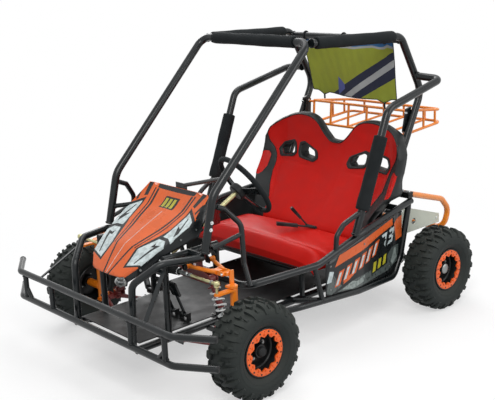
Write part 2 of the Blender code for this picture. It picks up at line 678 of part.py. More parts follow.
def cushion_shape():
    """Crowned cushion, with a front roll, drawn-in ends and a shallow channel across."""
    xs = [-0.372, -0.362, -0.335, -0.29, -0.20, -0.10, 0, 0.10, 0.20, 0.29, 0.335, 0.362, 0.372]
    ys = [0.462, 0.468, 0.480, 0.500, 0.525, 0.550, 0.580, 0.690, 0.745, 0.772, 0.779]
    top, low = [], []
    for y in ys:
        t_row, l_row = [], []
        for x in xs:
            end = max(0.0, (abs(x) - 0.27) / 0.102)
            front = max(0.0, (0.520 - y) / 0.058)
            rear_end = max(0.0, (y - 0.735) / 0.044)
            crown = 0.010 * (1 - (x / 0.372) ** 2)
            roll = 0.022 * exp(-((y - 0.505) / 0.035) ** 2)
            channel = -0.006 * exp(-((y - 0.565) / 0.014) ** 2)
            z = 0.352 + crown + roll + channel - 0.030 * end ** 3
            z -= 0.034 * front ** 2.4 + 0.022 * rear_end ** 2.4
            t_row.append((x, y, z))
            z_low = CUSHION_LOW_Z + 0.012 * end ** 3 + 0.010 * front ** 2.4
            l_row.append((x, y, min(z_low, z - 0.012)))
        top.append(t_row)
        low.append(l_row)
    return slab(top, low)


build("seat_cushion", [cushion_shape()], "seat_red")

# Two belt buckle stalks standing in the gap between cushion and seat back.
STALK_Z = 0.3679
stalks = [rod((0.060, 0.7450, STALK_Z), (0.120, 0.7450, STALK_Z), 0.0065, 8)]
for x, tip in ((0.070, (0.030, 0.690, 0.452)), (0.110, (0.020, 0.610, 0.398))):
    base_at = (x, 0.7450, STALK_Z)
    mid = along(base_at, tip, 0.55)
    stalks.append(bar(base_at, mid, 0.010, 0.006))
    stalks.append(bar(along(base_at, tip, 0.45), tip, 0.022, 0.012))
build("belt_stalks", stalks, "trim_black")

# Steering wheel on its shaft. Local z is the shaft, pointing to the driver.
wheel_turn = SHAFT_WAY.to_track_quat("Z", "Y").to_matrix().to_4x4()
wheel_set = Matrix.Translation(WHEEL_AT) @ wheel_turn
rim_path = [(STEER_R * cos(pi * k / 8), STEER_R * sin(pi * k / 8), 0) for k in range(16)]
steer = [tube(rim_path, GRIP_R, 6, loop=True)]
for angle in (0, 180, 270):
    arm = [(0.010, -0.017), (0.070, -0.014), (0.124, -0.018), (0.124, 0.018), (0.070, 0.014), (0.010, 0.017)]
    spoke = prism(arm, "z", -0.003, 0.003)
    tilt = Matrix.Translation((0, 0, -0.036)) @ Matrix.Rotation(-0.285, 4, "Y")
    steer.append(placed(spoke, Matrix.Rotation(radians(angle), 4, "Z") @ tilt))
steer.append(rod((0, 0, -0.050), (0, 0, -0.022), 0.034, 12))
reach = (Vector(WHEEL_AT) - Vector(PINION_AT)).length
steer.append(rod((0, 0, -reach + 0.036), (0, 0, -0.03), SHAFT_R, 8))
steer = [placed(s, wheel_set) for s in steer]
build("steering_wheel", steer, "trim_black", WHEEL_AT)

# Steering rack: fixed housing with rubber boots, sliding bar, and two tie rods.
HOUSE_X = 0.165
half = [(HOUSE_X - 0.001, 0.0165), (HOUSE_X, 0.0190), (HOUSE_X + 0.060, 0.0145),
        (HOUSE_X + 0.060, 0.0115), (HOUSE_X, 0.0118)]
profile = half + [(-across, radius) for across, radius in reversed(half)]
house = [turned(profile, (0, TIE_Y, TIE_Z), (1, TIE_Y, TIE_Z), 10)]
for x in (-0.10, 0.06):
    house.append(box(x - 0.012, x + 0.012, -0.1143, -0.087, TIE_Z - 0.012, TIE_Z + 0.012))
pinion_low = Vector((PINION_AT[0], TIE_Y, TIE_Z)) + Vector((0, 0.009, 0.010))
house.append(rod(pinion_low, Vector(PINION_AT) + SHAFT_WAY * 0.030, 0.0125, 12))
build("rack_housing", house, "trim_black")

half = [(TIE_IN_X - 0.007, 0.0072), (TIE_IN_X, 0.0085), (TIE_IN_X + 0.006, 0.006), (TIE_IN_X + 0.009, 0)]
profile = [(-across, radius) for across, radius in reversed(half)] + half
rack = turned(profile, (0, TIE_Y, TIE_Z), (1, TIE_Y, TIE_Z), 8)
build("steering_rack", [rack], "steel_pale", (0, TIE_Y, TIE_Z))


def tie_shapes():
    start = TIE_IN_X + 0.0098
    return [rod((start, TIE_Y, TIE_Z), (KINGPIN_X - 0.004, TIE_Y, TIE_Z), 0.0058, 8),
            rod((start, TIE_Y, TIE_Z), (start + 0.016, TIE_Y, TIE_Z), 0.0082, 6),
            rod((KINGPIN_X, TIE_Y, TIE_Z - 0.011), (KINGPIN_X, TIE_Y, TIE_Z + 0.011), 0.0125, 10)]


both("tie_rod", tie_shapes, "steel_pale", (TIE_IN_X, TIE_Y, TIE_Z))

# Tower beam that carries the tops of both front shocks.
beam = []
face = [(-0.276, 0.350), (-0.262, 0.346), (0.262, 0.346), (0.276, 0.350), (0.280, 0.366), (0.268, 0.380),
        (0.220, 0.392), (-0.220, 0.392), (-0.268, 0.380), (-0.280, 0.366)]
for y in (0.0195, 0.0555):
    beam.append(prism(face, "y", y, y + 0.005))
beam.append(box(-0.225, 0.225, 0.020, 0.060, 0.3875, 0.3925))
for side in (1, -1):
    ends = [(SHOCK_TOP[0], y, SHOCK_TOP[1]) for y in (0.0175, 0.0630)]
    beam.append(sided(rod(*ends, 0.0064, 8), side))
    beam.append(sided(box(0.1985, 0.2115, 0.0225, 0.0445, 0.390, TOWER_Z - 0.0142), side))
build("front_tower", beam, "arm_red")


# Suspension arms. Bushes lie along the kart, and forks hold the upright.
def arm_shapes(z, front_y, rear_y, front_bush, rear_bush, radius):
    made = []
    for y, bush in ((front_y, front_bush), (rear_y, rear_bush)):
        made.append(rod((ARM_IN_X, bush[0], z), (ARM_IN_X, bush[1], z), 0.0095, 6))
        sign = -1 if y < 0 else 1
        made.append(tube([(ARM_IN_X, y, z), (ARM_OUT_X - 0.030, sign * 0.0180, z)], radius, 6))
        ear = [(ARM_OUT_X - 0.060, z - 0.0075), (ARM_OUT_X + 0.004, z - 0.0085), (ARM_OUT_X + 0.009, z),
               (ARM_OUT_X + 0.004, z + 0.0085), (ARM_OUT_X - 0.060, z + 0.0075)]
        low, high = sorted((sign * 0.0140, sign * 0.0195))
        made.append(prism(ear, "y", low, high))
    made.append(box(ARM_OUT_X - 0.062, ARM_OUT_X - 0.030, -0.0192, 0.0192, z - 0.0040, z + 0.0040))
    return made


def low_arm_shapes():
    z = LOW_ARM_Z
    made = arm_shapes(z, -0.0750, 0.0730, (-0.0900, -0.0600), (0.0600, 0.0900), 0.0085)
    made.append(box(0.326, 0.376, 0.010, 0.0610, z - 0.0075, z - 0.0010))
    x, high = SHOCK_LOW
    ear = [(x - 0.014, z), (x + 0.014, z), (x + 0.010, high + 0.009), (x - 0.010, high + 0.009)]
    for y in (SHOCK_Y - 0.0205, SHOCK_Y + 0.0155):
        made.append(prism(ear, "y", y, y + 0.005))
    made.append(rod((x, SHOCK_Y - 0.0225, high), (x, SHOCK_Y + 0.0225, high), PIN_R, 8))
    return made


def up_arm_shapes():
    return arm_shapes(UP_ARM_Z, -0.0395, 0.0700, (-0.0520, -0.0280), (0.0550, 0.0850), 0.0078)


both("lower_arm", low_arm_shapes, "arm_red", (ARM_IN_X, 0, LOW_ARM_Z))
both("upper_arm", up_arm_shapes, "knuckle_orange", (ARM_IN_X, 0, UP_ARM_Z))

# Uprights and knuckles.
EARS_Z = (0.118, 0.380)
EAR_T = 0.008


def upright_shapes():
    made = [box(0.4085, 0.4145, 0.0015, 0.0190, EARS_Z[0] + 0.001, UP_ARM_Z + 0.012)]
    ear = [(0.409, -0.0195), (0.436, -0.016), (0.444, -0.008), (0.444, 0.008), (0.436, 0.016),
           (0.409, 0.0195)]
    for z in EARS_Z:
        made.append(prism(ear, "z", z, z + EAR_T))
    for z in (LOW_ARM_Z, UP_ARM_Z):
        made.append(rod((ARM_OUT_X, -0.0135, z), (ARM_OUT_X, 0.0135, z), 0.0088, 8))
        made.append(box(ARM_OUT_X, 0.4095, -0.0110, 0.0110, z - 0.0060, z + 0.0060))
    return made


both("upright", upright_shapes, "knuckle_orange", (ARM_OUT_X, 0, LOW_ARM_Z))


def knuckle_shapes():
    low, high = EARS_Z[0] + EAR_T + FIT_GAP, EARS_Z[1] - FIT_GAP
    made = [rod((KINGPIN_X, 0, low), (KINGPIN_X, 0, high), 0.0118, 8)]
    made.append(rod((KINGPIN_X + 0.030, 0, TYRE_R), (FRONT_X + 0.0400, 0, TYRE_R), SPINDLE_R, 10))
    made.append(rod((KINGPIN_X + 0.001, 0, TYRE_R), (FRONT_X - 0.0145, 0, TYRE_R), 0.0165, 8))
    made.append(rod((FRONT_X + 0.0350, 0, TYRE_R), (FRONT_X + 0.0430, 0, TYRE_R), 0.0160, 6))
    gusset = [(-0.0105, 0.300), (0.0165, 0.318), (0.0165, 0.375), (-0.0105, 0.375)]
    made.append(prism(gusset, "x", KINGPIN_X - 0.0040, KINGPIN_X + 0.0040))
    leg = [(-0.0135, 0.0), (-0.0115, 0.010), (0.0115, 0.010), (0.0135, 0.0), (0.0115, -0.075),
           (0.0, -0.0860), (-0.0115, -0.075)]
    made.append(prism([(KINGPIN_X + a, b) for a, b in leg], "z", 0.3690, 0.3770))
    made.append(rod((KINGPIN_X, TIE_Y, 0.370), (KINGPIN_X, TIE_Y, TIE_Z - 0.0116), 0.0048, 8))
    return made


both("knuckle", knuckle_shapes, "knuckle_orange", (KINGPIN_X, 0, TYRE_R))

# Shock absorbers: upper body with spring seat, sliding rod with lower seat, and the coil between.
TOP = Vector((SHOCK_TOP[0], SHOCK_Y, SHOCK_TOP[1]))
LOW = Vector((SHOCK_LOW[0], SHOCK_Y, SHOCK_LOW[1]))
SHOCK_WAY = (LOW - TOP).normalized()
SHOCK_LEN = (LOW - TOP).length
COIL_R = 0.0205
WIRE_R = 0.0034
SEAT_TOP_T = 0.034
SEAT_LOW_T = 0.171
COILS = 6


def eye(centre, half):
    made = turned([(-half, EYE_BORE_R), (-half, 0.0135), (half, 0.0135), (half, EYE_BORE_R)], centre,
                  centre + Vector((0, 1, 0)), 8)
    return made


def body_shapes():
    tube_part = turned([(0.0105, 0), (0.0105, 0.0100), (SEAT_TOP_T - 0.006, 0.0120),
                        (SEAT_TOP_T - 0.006, 0.0255), (SEAT_TOP_T, 0.0255), (SEAT_TOP_T, 0.0122),
                        (0.1120, 0.0122), (0.1120, 0.0080), (0.0400, 0.0080), (0.0400, 0)],
                       TOP, TOP + SHOCK_WAY, 8)
    return [tube_part, eye(TOP, 0.0140)]


def rod_shapes():
    part = turned([(0.0680, 0), (0.0680, 0.0062), (0.1450, 0.0062), (0.1450, 0.0105), (SEAT_LOW_T, 0.0115),
                   (SEAT_LOW_T, 0.0255), (SEAT_LOW_T + 0.006, 0.0255), (SEAT_LOW_T + 0.008, 0.0100),
                   (SHOCK_LEN - 0.0100, 0.0090), (SHOCK_LEN - 0.0100, 0)], TOP, TOP + SHOCK_WAY, 8)
    return [part, eye(LOW, 0.0140)]


def coil_path():
    across = SHOCK_WAY.cross(Vector((0, 1, 0))).normalized()
    up = across.cross(SHOCK_WAY).normalized()
    first, last = SEAT_TOP_T + WIRE_R + 0.0006, SEAT_LOW_T - WIRE_R - 0.0006
    steps = COILS * 7
    path = []
    for k in range(steps + 1):
        angle = 2 * pi * k / 7
        centre = TOP + SHOCK_WAY * (first + (last - first) * k / steps)
        path.append(centre + (across * cos(angle) + up * sin(angle)) * COIL_R)
    return path


both("shock_body", body_shapes, "arm_red", tuple(TOP))
both("shock_rod", rod_shapes, "steel_pale", tuple(LOW))
both("spring", lambda: [tube(coil_path(), WIRE_R, 5)], "spring_white", tuple(TOP))
pitch = (SEAT_LOW_T - SEAT_TOP_T - 2 * WIRE_R - 0.0012) / COILS
print(f"spring: least gap between turns {(pitch - 2 * WIRE_R) * 1000:.2f} mm")

# Wheels. Profiles are (distance outboard of the tyre's middle, radius).
TYRE_BORE_R = (RIM_SEAT_R + FIT_GAP) / cos(pi / 18)
TYRE = [(0.0440, TYRE_BORE_R), (0.0455, 0.0900), (0.0625, 0.1060), (TYRE_HALF, 0.1360), (0.0640, 0.1640),
        (0.0400, TYRE_R), (-0.0400, TYRE_R), (-0.0640, 0.1640), (-TYRE_HALF, 0.1360), (-0.0600, 0.1030),
        (-0.0490, TYRE_BORE_R)]
RIM = [(-0.0130, 0), (0.0340, 0), (0.0340, 0.0235), (0.0180, 0.0280), (0.0180, 0.0660), (0.0500, 0.0690),
       (0.0500, 0.0820), (0.0462, 0.0820), (0.0462, RIM_SEAT_R), (-0.0520, RIM_SEAT_R), (-0.0520, 0.0820),
       (-0.0560, 0.0820), (-0.0560, 0.0690), (0.0110, 0.0660), (0.0110, 0.0280), (-0.0130, 0.0235)]
RING = [(0.0503, 0.0640), (0.0560, 0.0640), (0.0560, RING_R), (0.0503, RING_R)]


def wheel_set_of(end, x, y, bore):
    spot = (x, y, TYRE_R)
    line = ((x, y, TYRE_R), (x + 1, y, TYRE_R))
    rim_profile = [(a, b or bore) for a, b in RIM]
    both(f"{end}_tyre", lambda: [turned(TYRE, *line, 18)], "tyre_rubber", spot)
    both(f"{end}_rim", lambda: [turned(rim_profile, *line, 10)], "rim_black", spot)
    both(f"{end}_ring", lambda: [turned(RING, *line, 18)], "ring_orange", spot)


wheel_set_of("front", FRONT_X, 0, (SPINDLE_R + BEARING_GAP) / cos(pi / 10))
wheel_set_of("rear", REAR_X, WHEELBASE, (AXLE_R + BEARING_GAP) / cos(pi / 10))

# Rear axle with its collars, sprocket and brake disc, turned as one shaft.
END = REAR_X + 0.0360
axle = [(-END - 0.006, 0), (-END - 0.006, 0.0170), (-END, 0.0170), (-END, AXLE_R), (-0.2480, AXLE_R),
        (-0.2480, 0.0200), (-0.2300, 0.0200), (-0.2300, AXLE_R), (-0.1120, AXLE_R), (-0.1120, 0.0260),
        (-0.0900, 0.0260), (-0.0900, 0.0880), (-0.0850, 0.0880), (-0.0850, AXLE_R), (0.1400, AXLE_R),
        (0.1400, 0.0260), (0.1600, 0.0260), (0.1600, 0.0800), (0.1640, 0.0800), (0.1640, AXLE_R),
        (0.2300, AXLE_R), (0.2300, 0.0200), (0.2480, 0.0200), (0.2480, AXLE_R), (END, AXLE_R), (END, 0.0170),
        (END + 0.006, 0.0170), (END + 0.006, 0)]
build("rear_axle", [turned(axle, (0, WHEELBASE, TYRE_R), (1, WHEELBASE, TYRE_R), 10)], "steel_pale",
      (0, WHEELBASE, TYRE_R))

# Engine on the cradle, behind the seats: lying cylinder, belt case, fan shroud, muffler and air box.
ENGINE_Z = CRADLE_BAR_Z + CRADLE_BAR_R + FIT_GAP
engine = [box(-0.090, 0.062, 1.036, 1.205, ENGINE_Z, ENGINE_Z + 0.105)]
for k in range(3):
    fin_y = 1.024 - 0.013 * k
    engine.append(box(-0.068, 0.048, fin_y, fin_y + 0.0055, ENGINE_Z + 0.012, ENGINE_Z + 0.092))
engine.append(box(-0.045, 0.025, 0.968, 1.040, ENGINE_Z + 0.026, ENGINE_Z + 0.078))
belt_case = []
for k in range(7):
    belt_case.append((1.088 - 0.050 * sin(pi * k / 6), ENGINE_Z + 0.055 - 0.050 * cos(pi * k / 6)))
for k in range(7):
    belt_case.append((1.190 + 0.044 * sin(pi * k / 6), ENGINE_Z + 0.058 + 0.044 * cos(pi * k / 6)))
engine.append(prism(belt_case, "x", 0.058, 0.112))
engine.append(rod((-0.086, 1.105, ENGINE_Z + 0.058), (-0.138, 1.105, ENGINE_Z + 0.058), 0.054, 10))
engine.append(tube(bent([(-0.050, 0.985, ENGINE_Z + 0.035), (-0.165, 0.985, ENGINE_Z + 0.035),
                         (-0.185, 1.140, ENGINE_Z + 0.045)], 0.035), 0.0125, 6))
engine.append(rod((-0.190, 1.120, ENGINE_Z + 0.048), (-0.190, 1.310, ENGINE_Z + 0.048), 0.037, 10))
engine.append(box(-0.165, -0.080, 1.165, 1.185, ENGINE_Z + 0.030, ENGINE_Z + 0.045))
engine.append(tube([(-0.010, 1.000, ENGINE_Z + 0.065), (-0.010, 1.070, ENGINE_Z + 0.135)], 0.014, 6))
engine.append(box(-0.060, 0.045, 1.060, 1.190, ENGINE_Z + 0.1045, ENGINE_Z + 0.160))
build("engine", engine, "engine_grey")

# Pale plate beside the engine, with one round hole.
plate = [(1.062, 0.424), (1.110, 0.412), (1.352, 0.334), (1.352, 0.2930), (1.100, 0.2930), (1.062, 0.330)]
hole = rod((0.290, 1.168, 0.337), (0.330, 1.168, 0.337), 0.0140, 12)
build("engine_plate", [prism(plate, "x", 0.3060, 0.3100), box(0.2826, 0.3070, 1.200, 1.230, 0.2940, 0.3100)],
      "plate_grey", cuts=[hole])

# Orange luggage rack on the rear posts.
RACK_X = 0.270
TOP_F, TOP_R = (1.158, 0.826), (1.412, 0.797)
LOW_F, LOW_R = (1.150, 0.722), (1.412, 0.742)
rack_parts = []
for (front_end, rear_end), thick in (((TOP_F, TOP_R), RACK_R), ((LOW_F, LOW_R), RACK_R - 0.0001)):
    corners = mirror_path([(RACK_X, *front_end), (RACK_X, *rear_end)])
    rack_parts.append(tube(bent(corners, 0.03, 1), thick, 5))
    rack_parts.append(tube([(RACK_X, *front_end), (-RACK_X, *front_end)], thick - 0.0002, 5))
for x in (-0.270, -0.162, -0.054, 0.054, 0.162, 0.270):
    rack_parts.append(tube([(x, *TOP_F), (x, *LOW_F)], 0.0058, 4))
for x in (-0.180, -0.060, 0.060, 0.180):
    rack_parts.append(tube([(x, *TOP_R), (x, *LOW_R)], 0.0057, 4))
    rack_parts.append(tube([(x, *LOW_F), (x, *LOW_R)], 0.0056, 4))
for side in (1, -1):
    for y, z in ((TOP_R[0] - 0.045, 0.802), (1.285, 0.812)):
        share = (y - LOW_F[0]) / (LOW_R[0] - LOW_F[0])
        low_z = LOW_F[1] + (LOW_R[1] - LOW_F[1]) * share
        rack_parts.append(sided(tube([(RACK_X, y, z), (RACK_X, y, low_z)], 0.0057, 4), side))
    foot_plate = [(1.128, 0.834), (1.160, 0.834), (1.154, 0.716), (1.112, 0.744)]
    rack_parts.append(sided(prism(foot_plate, "x", 0.2930, 0.2990), side))
    for y, z in ((1.150, 0.822), (1.140, 0.738)):
        rack_parts.append(sided(tube([(RACK_X, y, z), (0.2950, y, z)], 0.0054, 4), side))
build("luggage_rack", rack_parts, "rack_orange")

# Orange guard tube round the rear, from one side frame to the other.
guard = mirror_path([(0.352, 1.045, 0.497), (0.332, 1.338, 0.408), (0.330, 1.392, 0.352),
                     (0.322, 1.370, 0.262)])
guard = bent(guard, [0.04, 0.05, 0.045, 0.045, 0.05, 0.04])
guard_parts = [tube(guard, 0.0135, 6)]
for side in (1, -1):
    guard_parts.append(sided(box(0.338, 0.396, 1.022, 1.054, 0.4823, 0.5085), side))
build("rear_guard", guard_parts, "rack_orange")


# Cloth banner between the rear posts, with its folds, three ties and two tails.
BANNER_T = 0.0026
BANNER_COLS, BANNER_ROWS = 17, 6
BANNER_Y = REAR_TUBE[0] + REAR_TUBE[2] * cos(pi / 8) + TOUCH_GAP


def banner_at(col, row):
    """Front face of the cloth. The top edge rises at three ties, and two tails hang from the hem."""
    across, down = col / (BANNER_COLS - 1), row / (BANNER_ROWS - 1)
    half = 0.262 - 0.020 * down
    z = REAR_TUBE[1] - 0.0160 - (0.236 + 0.012 * across) * down - 0.010 * sin(pi * across) * down
    if row == 0 and col in (1, BANNER_COLS // 2, BANNER_COLS - 2):
        z += 0.024
    if down == 1 and col in (2, BANNER_COLS - 3):
        z -= 0.022
    pull = 0.016 * down * sin(2.2 * pi * across + 0.6)
    return Vector((-half + 2 * half * across, BANNER_Y + 0.034 * down + pull, z))


front = [[banner_at(c, r) for c in range(BANNER_COLS)] for r in range(BANNER_ROWS)]
back = [[p + Vector((0, BANNER_T, 0)) for p in row] for row in front]
build("rear_banner", [slab(front, back)], "banner_cloth")

total = 0
for piece in parts.objects:
    piece.data.calc_loop_triangles()
    total += len(piece.data.loop_triangles)
print(f"{len(parts.objects)} pieces, {total} triangles")
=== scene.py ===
from math import atan2, ceil, cos, exp, pi, radians, sin, tan

import bmesh
import bpy
from mathutils import Matrix, Vector


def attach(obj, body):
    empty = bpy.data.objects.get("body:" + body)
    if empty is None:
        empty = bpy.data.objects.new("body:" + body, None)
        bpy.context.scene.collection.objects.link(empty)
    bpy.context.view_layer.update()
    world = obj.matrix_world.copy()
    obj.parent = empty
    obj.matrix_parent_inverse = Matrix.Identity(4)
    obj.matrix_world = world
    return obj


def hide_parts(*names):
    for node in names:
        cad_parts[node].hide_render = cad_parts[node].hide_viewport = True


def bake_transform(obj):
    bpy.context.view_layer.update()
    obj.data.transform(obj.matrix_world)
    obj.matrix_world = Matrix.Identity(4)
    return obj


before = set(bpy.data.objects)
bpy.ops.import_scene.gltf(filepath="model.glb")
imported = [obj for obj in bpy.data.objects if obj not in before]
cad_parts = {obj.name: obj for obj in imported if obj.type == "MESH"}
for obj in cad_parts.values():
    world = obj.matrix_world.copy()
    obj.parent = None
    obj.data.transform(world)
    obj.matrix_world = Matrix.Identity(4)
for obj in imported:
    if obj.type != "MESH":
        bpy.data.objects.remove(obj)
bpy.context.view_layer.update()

FRONT_AXLE_Y = -0.5391
WHEELBASE = 1.113
TYRE_R = 0.1775
FRONT_X, REAR_X = 0.526, 0.482
CAGE_R, FRAME_R, BUMPER_R, RACK_R = 0.0157, 0.0136, 0.0122, 0.0064


def mm(value):
    """Millimetres as metres, in a number, a point or a table of points."""
    return value / 1000 if isinstance(value, (int, float)) else type(value)(mm(one) for one in value)


# Colours and materials
def linear(code, alpha=1.0):
    """An sRGB hex value as the linear colour that a socket takes."""
    parts = [int(code[i:i + 2], 16) / 255 for i in (1, 3, 5)]
    return (*[c / 12.92 if c <= 0.04045 else ((c + 0.055) / 1.055) ** 2.4 for c in parts], alpha)


def node(tree, kind, inputs=None, **settings):
    """A new node with its settings. An input is a value or the output of another node."""
    made = tree.nodes.new(kind)
    for key, value in settings.items():
        setattr(made, key, value)
    for key, value in (inputs or {}).items():
        if isinstance(value, bpy.types.NodeSocket):
            tree.links.new(value, made.inputs[key])
        else:
            made.inputs[key].default_value = value
    return made


def calc(tree, operation, a, b):
    """The result of one sum in a tree."""
    return node(tree, "ShaderNodeMath", {0: a, 1: b}, operation=operation).outputs[0]


def finish(name, colour, rough, metal=0.0, ior=1.5, spread=0.1, patch=0.05, grain=0.0008, depth=0.00003,
        rough_spread=0.08, coat=0.0, dust=None, pores=False, weave=0.0):
    """A material with colour that varies over patches, roughness that varies with it, and a fine relief."""
    made = bpy.data.materials.new(name)
    made.use_nodes = True
    tree = made.node_tree
    shader = tree.nodes["Principled BSDF"]
    place = node(tree, "ShaderNodeTexCoord").outputs["Object"]
    cloud = node(tree, "ShaderNodeTexNoise", {"Vector": place, "Scale": 1 / patch, "Detail": 4.0})
    base = Vector(linear(colour)[:3])
    ramp = node(tree, "ShaderNodeValToRGB", {"Fac": cloud.outputs["Fac"]})
    ramp.color_ramp.elements[0].position, ramp.color_ramp.elements[1].position = 0.32, 0.68
    ramp.color_ramp.elements[0].color = (*(base * (1 - spread)), 1)
    ramp.color_ramp.elements[1].color = (*[min(1.0, c * (1 + spread) + 0.004 * spread) for c in base], 1)
    shade = ramp.outputs["Color"]
    if dust:
        # Dust lies on faces that look up and in a cloudy pattern.
        normal = node(tree, "ShaderNodeNewGeometry").outputs["Normal"]
        up = node(tree, "ShaderNodeSeparateXYZ", {0: normal}).outputs["Z"]
        lie = node(tree, "ShaderNodeMapRange", {"Value": up, "From Min": -0.2, "From Max": 1.0}).outputs["Result"]
        thin = calc(tree, "MULTIPLY", calc(tree, "MULTIPLY", lie, cloud.outputs["Fac"]), dust[1])
        mixed = node(tree, "ShaderNodeMix", {"Factor": thin, "A": shade, "B": linear(dust[0])}, data_type="RGBA")
        shade = mixed.outputs["Result"]
    tree.links.new(shade, shader.inputs["Base Color"])
    rough_map = node(tree, "ShaderNodeMapRange", {"Value": cloud.outputs["Fac"], "From Min": 0.3, "From Max": 0.7,
        "To Min": max(0.02, rough - rough_spread), "To Max": min(1.0, rough + rough_spread)})
    tree.links.new(rough_map.outputs["Result"], shader.inputs["Roughness"])
    shader.inputs["Metallic"].default_value = metal
    if metal < 0.5:
        shader.inputs["IOR"].default_value = ior
    shader.inputs["Coat Weight"].default_value = coat
    shader.inputs["Coat Roughness"].default_value = 0.12
    if weave:
        # Threads run both ways: two waves multiplied give the crossings.
        waves = [node(tree, "ShaderNodeTexWave", {"Vector": place, "Scale": 1 / (weave * 20)},
            bands_direction=direction).outputs["Fac"] for direction in ("X", "Z")]
        height = calc(tree, "MULTIPLY", *waves)
    elif pores:
        cells = node(tree, "ShaderNodeTexVoronoi", {"Vector": place, "Scale": 1 / grain})
        height = cells.outputs["Distance"]
    else:
        height = node(tree, "ShaderNodeTexNoise", {"Vector": place, "Scale": 1 / grain, "Detail": 3.0}).outputs["Fac"]
    bump = node(tree, "ShaderNodeBump", {"Height": height, "Strength": 1.0, "Distance": depth})
    tree.links.new(bump.outputs["Normal"], shader.inputs["Normal"])
    made.diffuse_color = linear(colour)
    return made


# Powder coat on steel tube: satin black with orange peel about 1.5 mm across.
POWDER_BLACK = finish("powder_coated_steel", "#101517", 0.3, ior=1.38, grain=0.0016, depth=0.00004, coat=0.12)
# Closed-cell foam sleeve: matt, with pores about 1 mm across.
FOAM = finish("closed_cell_foam", "#14181A", 0.84, ior=1.33, grain=0.0011, depth=0.00012, pores=True)
# PVC leather: pressed grain of about 1.2 mm, a soft sheen.
VINYL_RED = finish("pvc_leather_red", "#C4150C", 0.46, ior=1.3, spread=0.05, grain=0.0012, depth=0.00005, pores=True)
VINYL_BLACK = finish("pvc_leather_black", "#131718", 0.46, ior=1.36, grain=0.0012, depth=0.00006, pores=True)
# Printed film over moulded polypropylene: glossy and smooth.
FILM_ORANGE = finish("printed_film_orange", "#DC6228", 0.28, ior=1.36, spread=0.06, depth=0.00001, coat=0.15)
FILM_WHITE = finish("printed_film_silver", "#C4D0D1", 0.28, spread=0.22, patch=0.02, depth=0.00001, coat=0.2)
FILM_BLACK = finish("printed_film_black", "#111517", 0.3, ior=1.36, spread=0.1, depth=0.00001, coat=0.15)
FILM_GREY = finish("printed_film_grey", "#4A5250", 0.32, spread=0.3, patch=0.015, depth=0.00001, coat=0.15)
FILM_PALE = finish("printed_film_pale", "#8C9793", 0.32, spread=0.3, patch=0.012, depth=0.00001, coat=0.15)
FILM_LIME = finish("printed_film_yellow", "#B8B02C", 0.3, spread=0.1, depth=0.00001, coat=0.15)
# Moulded polypropylene: black, fine moulded grain.
PLASTIC = finish("moulded_polypropylene", "#0E1011", 0.48, ior=1.38, grain=0.0007, depth=0.00004)
# Enamelled steel in orange: smooth and glossy.
ENAMEL_ORANGE = finish("orange_enamel", "#F58A1E", 0.3, spread=0.06, grain=0.002, depth=0.00003, coat=0.4)
RING_ORANGE = finish("orange_anodised_ring", "#F2641A", 0.34, metal=0.15, spread=0.08, grain=0.001, depth=0.00003)
CAST_ORANGE = finish("orange_painted_casting", "#F0821A", 0.36, spread=0.08, grain=0.0015, depth=0.00006)
ENAMEL_RED = finish("dark_red_enamel", "#702422", 0.38, spread=0.12, grain=0.0015, depth=0.00004)
# Tyre rubber: matt, dusty on top, fine mould grain.
RUBBER = finish("tyre_rubber", "#232827", 0.74, ior=1.36, spread=0.12, patch=0.03, grain=0.0012, depth=0.00008,
    dust=("#5A5C54", 0.28))
RIM_PAINT = finish("black_wheel_paint", "#0D0F10", 0.4, ior=1.38, grain=0.0012, depth=0.00004)
# Zinc plating with a yellow tint, on rods and nuts.
ZINC = finish("yellow_zinc_steel", "#B9B489", 0.32, metal=0.9, spread=0.15, patch=0.01, grain=0.0007, depth=0.00003)
CHROME = finish("bright_plated_steel", "#D5D8D8", 0.2, metal=1.0, spread=0.06, depth=0.00001)
STEEL = finish("machined_steel", "#8F9291", 0.38, metal=1.0, spread=0.12, grain=0.0006, depth=0.00002)
SPRING_WHITE = finish("white_enamel", "#E4EAEA", 0.3, spread=0.04, grain=0.002, depth=0.00002, coat=0.3)
PLATE_PALE = finish("pale_powder_coat", "#CDD2C4", 0.5, spread=0.05, grain=0.0014, depth=0.00005)
CAST_ALU = finish("cast_aluminium", "#9A9D9C", 0.48, metal=0.85, spread=0.14, grain=0.001, depth=0.0001)
BELLOWS = finish("moulded_rubber", "#121415", 0.66, ior=1.38, grain=0.001, depth=0.00004)
NYLON = finish("woven_nylon_webbing", "#181A1C", 0.78, grain=0.0012, depth=0.0002, weave=0.0012)
# Polyester flag cloth, woven at about 1 mm here so that it shows.
CLOTHS = [finish(f"flag_cloth_{name}", colour, 0.82, spread=0.07, depth=0.00018, weave=0.0011)
    for name, colour in (("olive", "#98A238"), ("grey", "#AEB4B4"), ("navy", "#20263A"), ("blue", "#3E78B0"),
    ("violet", "#55609E"))]


# Shapes: each is (points, faces), closed. Painted ones also carry their material.
def paint(material, *shapes):
    return [(*shape, material) for shape in shapes]


def mirrored(shape):
    return ([(-p[0], p[1], p[2]) for p in shape[0]], [f[::-1] for f in shape[1]], *shape[2:])


def pair(shapes):
    """Shapes of the left side, then their mirror images."""
    return shapes + [mirrored(shape) for shape in shapes]


def placed(shape, matrix):
    return ([matrix @ Vector(p) for p in shape[0]], *shape[1:])


def square_to(way):
    """Two directions at right angles to way and to each other."""
    up = Vector((0, 0, 1)) if abs(way.z) < 0.9 else Vector((0, 1, 0))
    across = way.cross(up).normalized()
    return across, across.cross(way).normalized()


